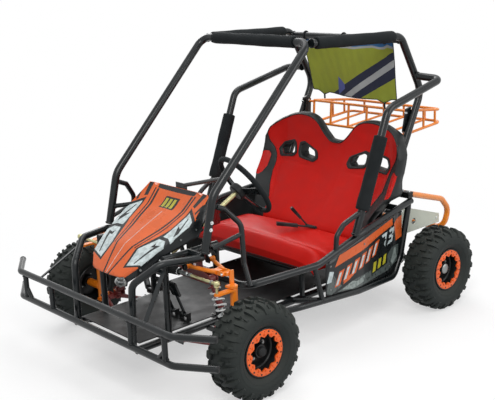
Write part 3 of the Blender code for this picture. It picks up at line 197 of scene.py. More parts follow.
def curved(points, radii, step=9):
    """The path with each inner corner rounded by an arc of its radius."""
    pts = [Vector(p) for p in points]
    if not isinstance(radii, (list, tuple)):
        radii = [radii] * (len(pts) - 2)
    path = [pts[0]]
    for i in range(1, len(pts) - 1):
        r = radii[i - 1]
        before, after = (pts[i - 1] - pts[i]).normalized(), (pts[i + 1] - pts[i]).normalized()
        turn = pi - before.angle(after)
        if r <= 0 or turn < radians(1):
            path.append(pts[i])
            continue
        centre = pts[i] + (before + after).normalized() * (r / cos(turn / 2))
        first = pts[i] + before * (r * tan(turn / 2)) - centre
        last = pts[i] + after * (r * tan(turn / 2)) - centre
        axis = first.cross(last).normalized()
        count = max(2, ceil(turn / radians(step)))
        for k in range(count + 1):
            path.append(centre + Matrix.Rotation(turn * k / count, 3, axis) @ first)
    path.append(pts[-1])
    return path


def pipe(path, radius, sides=20, loop=False, section=None):
    """A tube along the path, mitred at every point, with flat closed ends."""
    pts = [Vector(p) for p in path]
    count = len(pts)
    way = [(pts[(i + 1) % count] - pts[i]).normalized() for i in range(count if loop else count - 1)]
    across, up = square_to(way[0])
    if section is None:
        angles = [2 * pi * (k + 0.5) / sides for k in range(sides)]
        section = [(radius * cos(a), radius * sin(a)) for a in angles]
    ring = [pts[0] + across * a + up * b for a, b in section]
    if loop:
        flat = (way[0] + way[-1]).normalized()
        ring = [p + way[0] * ((pts[0] - p).dot(flat) / way[0].dot(flat)) for p in ring]
    rings = [ring]
    for i in range(1, count):
        here = way[i - 1]
        flat = (here + way[i % len(way)]).normalized() if i < count - 1 or loop else here
        ring = [p + here * ((pts[i] - p).dot(flat) / here.dot(flat)) for p in ring]
        rings.append(ring)
    n = len(section)
    faces = []
    for r in range(len(rings) if loop else len(rings) - 1):
        a, b = r * n, ((r + 1) % len(rings)) * n
        faces += [(a + k, a + (k + 1) % n, b + (k + 1) % n, b + k) for k in range(n)]
    if not loop:
        last = (len(rings) - 1) * n
        faces += [tuple(range(n - 1, -1, -1)), tuple(range(last, last + n))]
    return [p for one in rings for p in one], faces


def strap(start, end, wide, thick):
    """A flat bar between two points."""
    a, b = wide / 2, thick / 2
    return pipe([start, end], 0, section=[(-a, -b), (a, -b), (a, b), (-a, b)])


def lathe(profile, centre, steps=40, way=(1, 0, 0)):
    """A profile of (along, radius) points turned round an axis. A radius of 0 closes on the axis."""
    centre, way = Vector(centre), Vector(way).normalized()
    across, up = square_to(way)
    points, rows, faces = [], [], []
    for along, radius in profile:
        middle = centre + way * along
        if radius == 0:
            rows.append([len(points)] * steps)
            points.append(middle)
            continue
        rows.append(list(range(len(points), len(points) + steps)))
        for k in range(steps):
            angle = 2 * pi * k / steps
            points.append(middle + across * (radius * cos(angle)) + up * (radius * sin(angle)))
    closed = profile[0][1] != 0 or profile[-1][1] != 0
    for i in range(len(rows) if closed else len(rows) - 1):
        low, high = rows[i], rows[(i + 1) % len(rows)]
        for k in range(steps):
            face = [low[k], low[(k + 1) % steps], high[(k + 1) % steps], high[k]]
            face = [v for j, v in enumerate(face) if v not in face[:j]]
            if len(face) > 2:
                faces.append(tuple(face))
    return points, faces


def rod(start, end, radius, steps=24, round_end=0.0):
    """A round bar, with its ends rounded off by round_end."""
    a, b = Vector(start), Vector(end)
    length = (b - a).length
    e = round_end
    profile = [(0, 0), (0, radius - e), (e, radius), (length - e, radius), (length, radius - e), (length, 0)]
    if not e:
        profile = [(0, 0), (0, radius), (length, radius), (length, 0)]
    return lathe(profile, a, steps, b - a)


def band(half, inner, outer):
    """The profile of a plain ring: half its width, and its two radii."""
    return [(-half, inner), (-half, outer), (half, outer), (half, inner)]


def plate(outline, axis, low, high):
    """A flat outline pushed along an axis. Its two numbers are the other two axes, in X, Y, Z order."""
    points = []
    for level in (low, high):
        for a, b in outline:
            spot = [a, b]
            spot.insert("xyz".index(axis), level)
            points.append(Vector(spot))
    n = len(outline)
    faces = [tuple(range(n)), tuple(range(2 * n - 1, n - 1, -1))]
    faces += [(i, n + i, n + (i + 1) % n, (i + 1) % n) for i in range(n)]
    return points, faces


def block(x0, x1, y0, y1, z0, z1):
    return plate([(x0, y0), (x1, y0), (x1, y1), (x0, y1)], "z", z0, z1)


def skin(rows, closed=False):
    """A grid of points as one sheet. closed joins the last column to the first."""
    cols = len(rows[0])
    faces = []
    for r in range(len(rows) - 1):
        for c in range(cols if closed else cols - 1):
            a, b = r * cols + c, r * cols + (c + 1) % cols
            faces.append((a, b, b + cols, a + cols))
    return [Vector(p) for row in rows for p in row], faces


def linked(name, data):
    """A new object in the scene."""
    made = bpy.data.objects.new(name, data)
    bpy.context.scene.collection.objects.link(made)
    return made


def mesh_from(work, name, materials):
    """The finished mesh of a bmesh, which is freed."""
    mesh = bpy.data.meshes.new(name)
    work.to_mesh(mesh)
    work.free()
    for material in materials:
        mesh.materials.append(material)
    return mesh


def sheet_of(rows):
    """A grid of points as a bmesh."""
    points, faces = skin(rows)
    work = bmesh.new()
    made = [work.verts.new(p) for p in points]
    for face in faces:
        work.faces.new([made[i] for i in face])
    return work


def make(name, shapes, body="chassis", sharp=35, bevel=0.0, replaces=(), slot=None, mesh=None):
    """One piece from painted shapes or from a ready mesh, riding on a body."""
    if mesh is None:
        points, faces, indices, finishes = [], [], [], []
        for shape_points, shape_faces, material in shapes:
            if material not in finishes:
                finishes.append(material)
            base = len(points)
            points += [(p[0], p[1] + FRONT_AXLE_Y, p[2]) for p in shape_points]
            faces += [tuple(base + i for i in f) for f in shape_faces]
            indices += [finishes.index(material)] * len(shape_faces)
        mesh = bpy.data.meshes.new(name)
        mesh.from_pydata(points, [], faces)
        for material in finishes:
            mesh.materials.append(material)
        mesh.polygons.foreach_set("material_index", indices)
        work = bmesh.new()
        work.from_mesh(mesh)
        bmesh.ops.remove_doubles(work, verts=work.verts, dist=1e-6)
        bmesh.ops.recalc_face_normals(work, faces=work.faces)
        work.to_mesh(mesh)
        work.free()
    mesh.name = name
    mesh.shade_smooth()
    mesh.set_sharp_from_angle(angle=radians(sharp))
    piece = linked(name, mesh)
    if bevel:
        rounding = piece.modifiers.new("edges", "BEVEL")
        rounding.width = bevel
        rounding.segments = 2
        rounding.limit_method = "ANGLE"
        rounding.angle_limit = radians(38)
        rounding.use_clamp_overlap = True
        rounding.harden_normals = True
    if body:
        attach(piece, body)
    if replaces:
        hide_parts(*replaces)
    return piece


def both(name, shapes, body="chassis", nodes=(), **options):
    """The left piece and its mirror image. A body or node name ends in _left or _right by itself."""
    made = []
    for side in ("left", "right"):
        turned = shapes if side == "left" else [mirrored(s) for s in shapes]
        on = body if body in ("chassis", "rear_wheels") else f"{body}_{side}"
        stands_for = [f"{n}_{side}" for n in nodes]
        made.append(make(f"{name}_{side}", turned, on, replaces=stands_for, **options))
    return made


# Geometry Nodes: one tree for each thing that repeats
def grower(name, **inputs):
    """A new tree with one geometry in, one out and the named inputs."""
    tree = bpy.data.node_groups.new(name, "GeometryNodeTree")
    tree.interface.new_socket("Geometry", in_out="INPUT", socket_type="NodeSocketGeometry")
    for key, kind in inputs.items():
        tree.interface.new_socket(key, in_out="INPUT", socket_type=f"NodeSocket{kind}")
    tree.interface.new_socket("Geometry", in_out="OUTPUT", socket_type="NodeSocketGeometry")
    return tree, node(tree, "NodeGroupInput").outputs


def close_tree(tree, geometry, material):
    """Every tree ends with real geometry and its material."""
    real = node(tree, "GeometryNodeRealizeInstances", {"Geometry": geometry})
    coloured = node(tree, "GeometryNodeSetMaterial", {"Geometry": real.outputs[0], "Material": material})
    node(tree, "NodeGroupOutput", {"Geometry": coloured.outputs[0]})


def grown(shape, tree, name, body="chassis", attribute=None, sharp=35, replaces=(), **values):
    """Runs a tree on a shape and gives the plain mesh that comes out."""
    points, faces, *edges = shape
    seed = bpy.data.meshes.new(name)
    seed.from_pydata([(p[0], p[1] + FRONT_AXLE_Y, p[2]) for p in points], edges[0] if edges else [], faces)
    if attribute:
        held = seed.attributes.new("way", "FLOAT_VECTOR", "POINT")
        held.data.foreach_set("vector", [c for v in attribute for c in v])
    seed.update()
    carrier = linked(name, seed)
    modifier = carrier.modifiers.new("grow", "NODES")
    modifier.node_group = tree
    for item in tree.interface.items_tree:
        if item.in_out == "INPUT" and item.name in values:
            modifier[item.identifier] = values[item.name]
    graph = bpy.context.evaluated_depsgraph_get()
    mesh = bpy.data.meshes.new_from_object(carrier.evaluated_get(graph))
    bpy.data.objects.remove(carrier, do_unlink=True)
    bpy.data.meshes.remove(seed)
    return make(name, None, body, mesh=mesh, sharp=sharp, replaces=replaces)


# Copies round a line along X, for lugs, ring sectors, sprocket teeth, disc holes and fan slots.
ROUND_TREE, given = grower("copies_round_a_shaft", Copies="Int", Centre="Vector", Finish="Material")
spots = node(ROUND_TREE, "GeometryNodePoints", {"Count": given["Copies"], "Position": given["Centre"]})
back = node(ROUND_TREE, "ShaderNodeVectorMath", {0: given["Centre"], "Scale": -1.0}, operation="SCALE")
local = node(ROUND_TREE, "GeometryNodeTransform", {"Geometry": given["Geometry"], "Translation": back.outputs[0]})
index = node(ROUND_TREE, "GeometryNodeInputIndex")
angle = calc(ROUND_TREE, "MULTIPLY", index.outputs[0], calc(ROUND_TREE, "DIVIDE", 2 * pi, given["Copies"]))
euler = node(ROUND_TREE, "ShaderNodeCombineXYZ", {"X": angle})
turn = node(ROUND_TREE, "FunctionNodeEulerToRotation", {0: euler.outputs[0]})
copies = node(ROUND_TREE, "GeometryNodeInstanceOnPoints", {"Points": spots.outputs[0], "Instance": local.outputs[0],
    "Rotation": turn.outputs[0]})
close_tree(ROUND_TREE, copies.outputs[0], given["Finish"])

# Hexagon bolt heads on washers, standing on points that carry their direction.
BOLT_TREE, given = grower("hexagon_bolts", Size="Float", Finish="Material")
whole = node(BOLT_TREE, "GeometryNodeJoinGeometry")
# Head, washer and stud, each a cylinder: its sides, then its radius, height and lift in bolt sizes.
for sides, *shares in ((6, 0.92, 0.7, 0.55), (20, 1.25, 0.4, 0.0), (12, 0.5, 2.2, 0.0)):
    radius, height, lift = [calc(BOLT_TREE, "MULTIPLY", given["Size"], share) for share in shares]
    turned = node(BOLT_TREE, "GeometryNodeMeshCylinder", {"Vertices": sides, "Radius": radius, "Depth": height})
    up = node(BOLT_TREE, "ShaderNodeCombineXYZ", {"Z": lift})
    raised = node(BOLT_TREE, "GeometryNodeTransform", {"Geometry": turned.outputs["Mesh"],
        "Translation": up.outputs[0]})
    BOLT_TREE.links.new(raised.outputs[0], whole.inputs[0])
way_of = node(BOLT_TREE, "GeometryNodeInputNamedAttribute", {"Name": "way"}, data_type="FLOAT_VECTOR")
stand = node(BOLT_TREE, "FunctionNodeAlignRotationToVector", {"Vector": way_of.outputs["Attribute"]}, axis="Z")
bolts = node(BOLT_TREE, "GeometryNodeInstanceOnPoints", {"Points": given["Geometry"], "Instance": whole.outputs[0],
    "Rotation": stand.outputs[0]})
close_tree(BOLT_TREE, bolts.outputs[0], given["Finish"])

# Stitches spaced along a seam.
STITCH_TREE, given = grower("stitches", Spacing="Float", Length="Float", Thread="Float", Finish="Material")
seam = node(STITCH_TREE, "GeometryNodeMeshToCurve", {"Mesh": given["Geometry"]})
even = node(STITCH_TREE, "GeometryNodeResampleCurve", {"Curve": seam.outputs[0], "Length": given["Spacing"]},
    mode="LENGTH")
thread = node(STITCH_TREE, "GeometryNodeMeshCylinder", {"Vertices": 6, "Radius": given["Thread"],
    "Depth": given["Length"]})
tangent = node(STITCH_TREE, "GeometryNodeInputTangent")
lie = node(STITCH_TREE, "FunctionNodeAlignRotationToVector", {"Vector": tangent.outputs[0]}, axis="Z")
sewn = node(STITCH_TREE, "GeometryNodeInstanceOnPoints", {"Points": even.outputs[0], "Instance": thread.outputs["Mesh"],
    "Rotation": lie.outputs[0]})
close_tree(STITCH_TREE, sewn.outputs[0], given["Finish"])


def bolt_set(name, heads, size=0.006, finish=CHROME, body="chassis"):
    """Bolts at (point, direction) pairs."""
    ways = [tuple(Vector(way).normalized()) for _, way in heads]
    return grown(([p for p, _ in heads], []), BOLT_TREE, name, body, attribute=ways, Size=size, Finish=finish)


def seam_line(name, path, length, thread, finish):
    """Stitches along a path."""
    edges = [(i, i + 1) for i in range(len(path) - 1)]
    return grown((path, [], edges), STITCH_TREE, name, Spacing=0.0075, Length=length, Thread=thread, Finish=finish)


def circle(count, radius):
    """Points of a circle as pairs."""
    return [(radius * cos(2 * pi * k / count), radius * sin(2 * pi * k / count)) for k in range(count)]


def polar(along, radius, angle):
    """A point round the X axis, with its angle counted from the top."""
    return Vector((along, radius * sin(angle), radius * cos(angle)))


def weld(at, way, radius, bead=0.0026):
    """A rough bead round a tube where it meets another."""
    way = Vector(way).normalized()
    across, up = square_to(way)
    path = [Vector(at) + across * a + up * b + way * (0.0004 * (k % 2)) for k, (a, b) in enumerate(circle(40, radius
        + bead * 0.2))]
    return pipe(path, bead, 8, loop=True)


def welds(*rows):
    """Beads on both sides, from (place, direction, radius, bead) rows."""
    return paint(POWDER_BLACK, *[weld((side * x, y, z), way, *sizes) for side in (1, -1)
        for (x, y, z), way, *sizes in rows])


def tubes(specs, material=POWDER_BLACK, sides=20):
    """Painted pipes from (path, radius) pairs."""
    return paint(material, *[pipe(path, radius, sides) for path, radius in specs])


def both_ways(points):
    """A path given from the left end to the middle, run on to the right end."""
    return list(points) + [(-x, y, z) for x, y, z in reversed(points)]


def sides_of(specs):
    """The same (path, radius) pairs on both sides."""
    flipped = [([(-p[0], p[1], p[2]) for p in path], radius) for path, radius in specs]
    return specs + flipped


# Main frame: floor rails, towers, seat bars, cradle.
RAIL_X, NOSE_X, RAIL_Z = 0.27, 0.2, 0.16
TOWER_X, TOWER_Z, CRADLE_Z = 0.205, 0.465, 0.3
SEAT_BAR_Z = 0.2744
frame_tubes = [(curved([(NOSE_X, -0.27, RAIL_Z), (NOSE_X, 0.11, RAIL_Z), (RAIL_X, 0.22, RAIL_Z),
    (RAIL_X, 0.945, RAIL_Z), (RAIL_X, 1.02, CRADLE_Z), (RAIL_X, 1.33, CRADLE_Z + 0.004)], [0.03, 0.03, 0.02, 0.02]),
    FRAME_R), ([(TOWER_X, -0.125, RAIL_Z), (TOWER_X, -0.125, TOWER_Z)], 0.0124),
    ([(TOWER_X, 0.115, RAIL_Z), (TOWER_X, 0.115, TOWER_Z)], 0.0124), ([(TOWER_X, -0.132, TOWER_Z),
    (TOWER_X, 0.122, TOWER_Z)], 0.013), (curved([(TOWER_X, -0.0135, TOWER_Z), (0.3, -0.0135, TOWER_Z),
    (0.25, -0.175, 0.47), (0.185, -0.258, 0.4), (0.18, -0.268, RAIL_Z)], [0.018, 0.06, 0.04]), 0.0132),
    ([(RAIL_X, 0.5, RAIL_Z), (RAIL_X, 0.5, SEAT_BAR_Z)], 0.0107), ([(RAIL_X, 0.76, RAIL_Z), (RAIL_X, 0.76, SEAT_BAR_Z)],
    0.0107), ([(RAIL_X, 0.93, RAIL_Z), (0.3, 0.955, 0.455)], 0.0129)]
cross_tubes = [([(x, y, z), (-x, y, z)], r) for x, y, z, r in ((0.1995, -0.262, 0.1605, 0.0128),
    (NOSE_X, -0.125, 0.1603, 0.0128), (RAIL_X, 0.135, 0.1604, 0.0128), (TOWER_X, -0.125, 0.412, 0.0115),
    (0.29, 0.5, SEAT_BAR_Z, 0.0116), (0.29, 0.76, SEAT_BAR_Z, 0.0116), (0.3816, 0.955, 0.455, 0.0135),
    (RAIL_X, 1.045, 0.3008, 0.0124), (RAIL_X, 1.19, 0.3008, 0.0124), (RAIL_X, 1.315, 0.3042, 0.0124))]
for end, low_z in mm((((412, 450, 197), 160.2), ((390, 800, 166.5), 160.4))):
    cross_tubes.append((curved(both_ways([end, (RAIL_X, end[1], low_z)]), 0.05), 0.0125))
frame_shapes = tubes(sides_of(frame_tubes) + cross_tubes)
carrier = mm([(1075, 294), (1151, 294), (1146, 160), (1128, 146), (1098, 146), (1080, 160)])
boss = mm([(-12, 13), (-12, 29), (-11, 30), (11, 30), (12, 29), (12, 13)])
ear = mm([(198, 474), (243, 434), (243, 414), (221, 414)])
ears = [plate(carrier, "x", 0.266, 0.274), lathe(boss, (0.27, WHEELBASE, TYRE_R))]
ears += [block(0.196, 0.243, y, y + 0.004, 0.139, 0.161) for y in (-0.0945, -0.0595, 0.0555, 0.0905)]
ears += [plate(ear, "y", y, y + 0.004) for y in (-0.0565, -0.0275, 0.0505, 0.0855)]
make("main_frame", frame_shapes + pair(paint(POWDER_BLACK, *ears)), replaces=["chassis_frame"], slot="frame_black")

# Front bumper with its end caps.
BUMPER_Y, BUMPER_ZS = -0.328, (0.212, 0.316)
cap = [(-0.004, 0), (-0.004, BUMPER_R + 0.0006), (0.0006, BUMPER_R + 0.0006), (0.0022, BUMPER_R - 0.002), (0.0026, 0)]
bumper = []
for z in BUMPER_ZS:
    bumper += tubes([(curved(both_ways([(0.622, -0.243, z), (0.49, BUMPER_Y, z)]), 0.045), BUMPER_R)])
    bumper += pair(paint(PLASTIC, lathe(cap, (0.6225, -0.2427, z), way=(0.132, 0.085, 0))))
LOW_Z, HIGH_Z = BUMPER_ZS
UPRIGHTS, UPRIGHT_R = (0.452, 0.257), 0.0105
bumper += tubes(sides_of([([(x, BUMPER_Y, LOW_Z), (x, BUMPER_Y, HIGH_Z)], UPRIGHT_R) for x in UPRIGHTS]
    + [([(0.41, BUMPER_Y, LOW_Z), (0.452, BUMPER_Y + 0.002, 0.256)], 0.0082),
    ([(0.15, BUMPER_Y, LOW_Z), (0.15, -0.2716, 0.1706)], 0.0102)]))
bumper += pair(paint(POWDER_BLACK, strap((0.345, BUMPER_Y, HIGH_Z), (0.262, -0.172, 0.445), 0.016, 0.005)))
bumper += welds(*[((x, BUMPER_Y, z), (0, 0, way), UPRIGHT_R, 0.0022) for x in UPRIGHTS
    for z, way in ((LOW_Z + 0.011, 1), (HIGH_Z - 0.011, -1))])
make("bumper_bars", bumper, replaces=["front_bumper"], slot="frame_black")

# Roll cage.
FOOT, A_BEND, ROOF_F = mm(((300, -13.5, 479), (298, 36, 680), (310, 533, 1175)))
RAIL_START, ROOF_R, KINK, POST_FOOT = mm(((301, 549.7, 1170.5), (320, 1063, 1154), (320, 1200, 910),
    (320, 968.5, 469.2)))
hoop_path = curved(both_ways([FOOT, A_BEND, ROOF_F]), [0.1, 0.045, 0.045, 0.1])
dash_path = curved(both_ways([(A_BEND[0], 0.004, 0.548), (0.2, 0.1, 0.562)]), 0.04)
WHEEL_AT, PINION_AT = Vector((0.195, 0.282, 0.658)), Vector((0.12, -0.06, 0.43))
SHAFT_WAY = (WHEEL_AT - PINION_AT).normalized()
BUSH = PINION_AT + SHAFT_WAY * 0.17
hoop = tubes([(hoop_path, CAGE_R), (dash_path, 0.0093), mm(([(298.5, 91.2, 735), (20, 126, 660)], 7.8))])
bush = mm([(-12, 9.4), (-12, 18.2), (-11, 19), (11, 19), (12, 18.2), (12, 9.4)])
hoop += paint(POWDER_BLACK, lathe(bush, BUSH, way=SHAFT_WAY), strap(BUSH + Vector((0, -0.554, 0.832)) * 0.0185,
    (BUSH.x, 0.098, 0.562), 0.012, 0.01), strap((0.292, 0.022, 0.6), (0.196, 0.15, 0.568), 0.005, 0.06),
    strap((0.197, 0.15, 0.57), (0.184, 0.103, 0.567), 0.012, 0.014), block(-0.02, 0.045, 0.1185, 0.1225, 0.63, 0.67))
hoop += welds(((0.3002, -0.0125, 0.4835), (0, 0.24, 0.97), CAGE_R), ((0.29, 0.01, 0.5485), (-0.7, 0.7, 0.1), 0.0093,
    0.002))
make("cage_front", hoop, replaces=["cage_front_hoop"], slot="frame_black")

REAR_TUBE = (1.07, 1.138, 0.0147)
rear_path = curved([RAIL_START, ROOF_R, KINK, POST_FOOT], [0.055, 0.085])
rear = tubes(sides_of([(rear_path, CAGE_R)]) + [([(0.318, *REAR_TUBE[:2]), (-0.318, *REAR_TUBE[:2])], REAR_TUBE[2])])
rear_ear = mm([(1118, 842), (1152, 850), (1130, 748), (1096, 748)])
rear += pair(paint(POWDER_BLACK, plate(rear_ear, "x", 0.2995, 0.3075)))
rear += welds(((0.3045, *REAR_TUBE[:2]), (1, 0, 0), REAR_TUBE[2]), ((0.3032, 0.553, 1.1704), (0.03, 0.97, -0.03),
    CAGE_R))
make("cage_rear", rear, replaces=["cage_rear_hoop"], slot="frame_black")

HOOP_PATH = mm([(338, 1152, 981), (446, 1166, 974), (451, 822, 897), (444, 627.5, 422)])
side_hoop = tubes([(curved(HOOP_PATH, [0.03, 0.06]), CAGE_R)])
side_hoop += paint(POWDER_BLACK, weld((0.34, 1.1523, 0.9809), (1, 0.1, 0), CAGE_R),
    weld((0.4441, 0.63, 0.4285), (0, 0.38, 0.92), CAGE_R))
both("side_hoop_tube", side_hoop, nodes=["side_hoop"], slot="frame_black")


# Foam sleeves: slightly soft cylinders with eased ends.
def sleeve(start, end, low, high, radius):
    a, b = Vector(start), Vector(end)
    first, last = a.lerp(b, low), a.lerp(b, high)
    way = last - first
    length = way.length
    profile = [(0, 0.0168), (0, radius - 0.004), (0.0015, radius - 0.0012), (0.005, radius)]
    steps = 24
    for k in range(1, steps):
        share = k / steps
        soft = 0.0007 * sin(share * 9.0 + radius * 200) + 0.0004 * sin(share * 23)
        profile.append((length * share, radius + soft))
    profile += [(length - 0.005, radius), (length - 0.0015, radius - 0.0012), (length, radius - 0.004),
        (length, 0.0168)]
    return paint(FOAM, lathe(profile, first, 32, way))


pads = [make("front_roof_sleeve", sleeve((0.235, 0.533, 1.175), (-0.235, 0.533, 1.175), 0, 1, 0.0238),
    replaces=["pad_front"], slot="foam_black")]
pads += both("roof_sleeve", sleeve(RAIL_START, ROOF_R, 0.055, 0.905, 0.0238), nodes=["pad_roof"], slot="foam_black")
pads += both("side_sleeve", sleeve(HOOP_PATH[2], HOOP_PATH[3], 0.215, 0.795, 0.0272), nodes=["pad_side"],
    slot="foam_black")

# Side frames.
SIDE_TOP = mm([(216.8, 115, 340), (300, 112, 340), (380, 98, 342), (430, 430, 350), (432, 690, 423), (384, 1052, 468)])
SIDE_LOW = mm([(285, 142, 168), (345, 175, 188), (424, 330, 206), (430, 660, 182), (386, 935, 160), (382, 985, 240),
    (383, 1034, 440), (383, 1036, 466)])
TOP_PATH = curved(SIDE_TOP, [0.05, 0.05, 0.12, 0.12])
LOW_PATH = curved(SIDE_LOW, [0.05, 0.09, 0.1, 0.045, 0.06, 0.0])
GRAB = mm([(429.5, 530, 376), (430, 536, 440), (431, 575, 478), (445.3, 650, 511)])
KNEE = mm([(389, 118, 342), (352, 124, 420), (332, 136, 560), (304, 83, 625), (302, 48, 640)])
side_tubes = tubes([(TOP_PATH, FRAME_R), (LOW_PATH, 0.013), mm(([(427.5, 412, 350), (428.5, 452, 197)], 10.5)),
    (curved(GRAB, [0.03, 0.05]), 0.0102), (curved(KNEE, [0.05, 0.045, 0.0]), 0.01),
    mm(([(336, 130, 526), (318, 6, 498)], 8.3))])
side_tubes += paint(POWDER_BLACK, weld((0.4296, 0.531, 0.386), (0, 0, 1), 0.0102, 0.0022))
end_cap = [(-0.006, 0), (-0.006, FRAME_R), (-0.001, FRAME_R + 0.0008), (0.002, FRAME_R - 0.002), (0.003, 0)]
side_tubes += paint(PLASTIC, lathe(end_cap, SIDE_TOP[-1], way=(-0.13, 0.99, 0.1)))
both("side_frame_tubes", side_tubes, nodes=["side_frame"], slot="frame_black")


# Panels and shells that carry printed film: a fine grid with the print cut into its faces.
def cut_in(work, outline, index, axes):
    """Splits the faces along an outline seen along one axis, and gives what lies inside a material index."""
    u, v = axes
    n = len(outline)
    for i in range(n):
        a, b = outline[i], outline[(i + 1) % n]
        low = (min(a[0], b[0]) - 1e-4, min(a[1], b[1]) - 1e-4)
        high = (max(a[0], b[0]) + 1e-4, max(a[1], b[1]) + 1e-4)
        geom = set()
        for face in work.faces:
            us, vs = [p.co[u] for p in face.verts], [p.co[v] for p in face.verts]
            if max(us) >= low[0] and min(us) <= high[0] and max(vs) >= low[1] and min(vs) <= high[1]:
                geom.update((face, *face.edges, *face.verts))
        point, normal = [0.0] * 3, [0.0] * 3
        point[u], point[v] = a
        normal[u], normal[v] = b[1] - a[1], a[0] - b[0]
        bmesh.ops.bisect_plane(work, geom=list(geom), dist=1e-6, plane_co=point, plane_no=normal)
    for face in work.faces:
        middle = face.calc_center_median()
        if inside(outline, middle[u], middle[v]):
            face.material_index = index


def inside(outline, x, y):
    found = False
    for (ax, ay), (bx, by) in zip(outline, outline[1:] + outline[:1]):
        if (ay > y) != (by > y) and x < (bx - ax) * (y - ay) / (by - ay) + ax:
            found = not found
    return found


def refined(table, steps):
    """A table of points with steps cells between each pair, along both ways."""
    rows, cols = len(table), len(table[0])
    made = []
    for r in range((rows - 1) * steps + 1):
        i, s = min(r // steps, rows - 2), r / steps - min(r // steps, rows - 2)
        row = []
        for c in range((cols - 1) * steps + 1):
            j, t = min(c // steps, cols - 2), c / steps - min(c // steps, cols - 2)
            low = Vector(table[i][j]).lerp(Vector(table[i][j + 1]), t)
            high = Vector(table[i + 1][j]).lerp(Vector(table[i + 1][j + 1]), t)
            row.append(low.lerp(high, s))
        made.append(row)
    return made


def printed(name, rows, prints, axes, finishes, thick, ease=1, replaces=(), slot=None, rule=None):
    """A thin shell with its print. The first finish is the ground, and rule can choose one by place."""
    work = sheet_of(rows)
    for _ in range(ease):
        inner = [v for v in work.verts if not v.is_boundary]
        bmesh.ops.smooth_vert(work, verts=inner, factor=0.5, use_axis_x=True, use_axis_y=True, use_axis_z=True)
    for outline, index in prints:
        cut_in(work, mm(outline), index, axes)
    if rule:
        for face in work.faces:
            chosen = rule(face.calc_center_median())
            if chosen is not None:
                face.material_index = chosen
    bmesh.ops.recalc_face_normals(work, faces=work.faces)
    for vert in work.verts:
        vert.co.y += FRONT_AXLE_Y
    mesh = mesh_from(work, name, [*finishes, PLASTIC])
    piece = make(name, None, sharp=28, mesh=mesh, replaces=replaces, slot=slot)
    wall = piece.modifiers.new("wall", "SOLIDIFY")
    wall.thickness = thick
    wall.offset = -1
    # The unprinted inner face takes the last material, the bare plastic.
    wall.material_offset = wall.material_offset_rim = len(finishes)
    return piece


def flipped(outline):
    return [(-x, y) for x, y in reversed(outline)]


COWL = mm([[(0, -243, 399), (30, -243, 399), (81, -239, 400), (101, -232, 404), (106, -226, 380)],
    [(0, -205, 437), (37, -205, 437), (95, -205, 436), (145, -196, 443), (152, -188, 416)],
    [(0, -150, 489), (46, -152, 487), (115, -140, 486), (172, -125, 491), (180, -118, 464)],
    [(0, -53, 537), (77, -52, 529), (140, -52, 527), (196, -45, 533), (206, -38, 494)],
    [(0, 60, 588), (56, 57, 586), (135, 45, 584), (203, 18, 570), (226, 22, 520)],
    [(0, 115, 650), (62, 115, 650), (130, 115, 650), (179, 114, 649), (215, 85, 600)]])
cowl_full = [[(-x, y, z) for x, y, z in reversed(row[1:])] + row for row in COWL]
# Prints are (outline, finish) pairs in millimetres. Here are silver flashes in black outlines along each lower edge,
# then dark lines beside the middle.
marks = [([(72, -214), (158, -193), (194, -100), (208, 2), (203, 26), (140, 64), (128, -30), (106, -76), (70, -150)],
    2), ([(82, -206), (151, -188), (181, -108), (160, -82), (122, -80), (80, -148)], 1),
    ([(187, -82), (201, 0), (196, 18), (147, 48), (134, -30), (128, -66), (160, -68)], 1),
    ([(108, -192), (114, -191), (160, -106), (136, -110), (128, -98), (124, -122), (140, -120)], 2),
    ([(176, -58), (184, -40), (166, 26), (160, 30), (170, -20), (150, -10)], 2),
    ([(10, -244), (18, -244), (52, -152), (44, -150)], 2), ([(44, -150), (52, -152), (94, -10), (110, 98), (99, 100),
    (84, -6)], 2), ([(60, -150), (65, -151), (104, -30), (126, 100), (118, 100), (98, -26)], 2),
    ([(140, 70), (158, 64), (176, 112), (152, 114)], 2), ([(176, 48), (184, 42), (206, 92), (196, 102)], 2)]
cowl_prints = marks + [(flipped(outline), index) for outline, index in marks]
cowl_prints.append(([(-1.2, -244), (1.2, -244), (1.2, 30), (-1.2, 30)], 1))
# A dark band along the rear edge, and plain slanted bars in a dark field below it.
cowl_prints.append(([(-112, 101), (112, 101), (116, 114), (-116, 114)], 2))
cowl_prints.append(([(-44, 46), (40, 46), (46, 86), (-38, 86)], 2))
for low in (-37, -13, 11):
    cowl_prints.append(([(low, 51), (low + 16, 51), (low + 21, 81), (low + 5, 81)], 3))
cowl_grid = refined(cowl_full, 6)


def skirt(middle):
    """The lowest strip of the shell on each side is unprinted black."""
    for row_a, row_b in zip(COWL, COWL[1:]):
        if row_a[3][1] <= middle.y <= row_b[3][1]:
            share = (middle.y - row_a[3][1]) / (row_b[3][1] - row_a[3][1])
            edge = Vector(row_a[3]).lerp(Vector(row_b[3]), share)
            return 2 if middle.z < edge.z - 0.004 and abs(middle.x) > edge.x - 0.01 else None
    return None


printed("nose_cowl_shell", cowl_grid, cowl_prints, (0, 1), [FILM_ORANGE, FILM_WHITE, FILM_BLACK, FILM_LIME],
    thick=0.003, replaces=["nose_cowl"], slot="cowl_orange", rule=skirt)


def rail_at(path, y):
    for a, b in zip(path, path[1:]):
        if a[1] <= y <= b[1]:
            t = (y - a[1]) / (b[1] - a[1])
            return a[0] + (b[0] - a[0]) * t, a[2] + (b[2] - a[2]) * t
    raise ValueError(y)


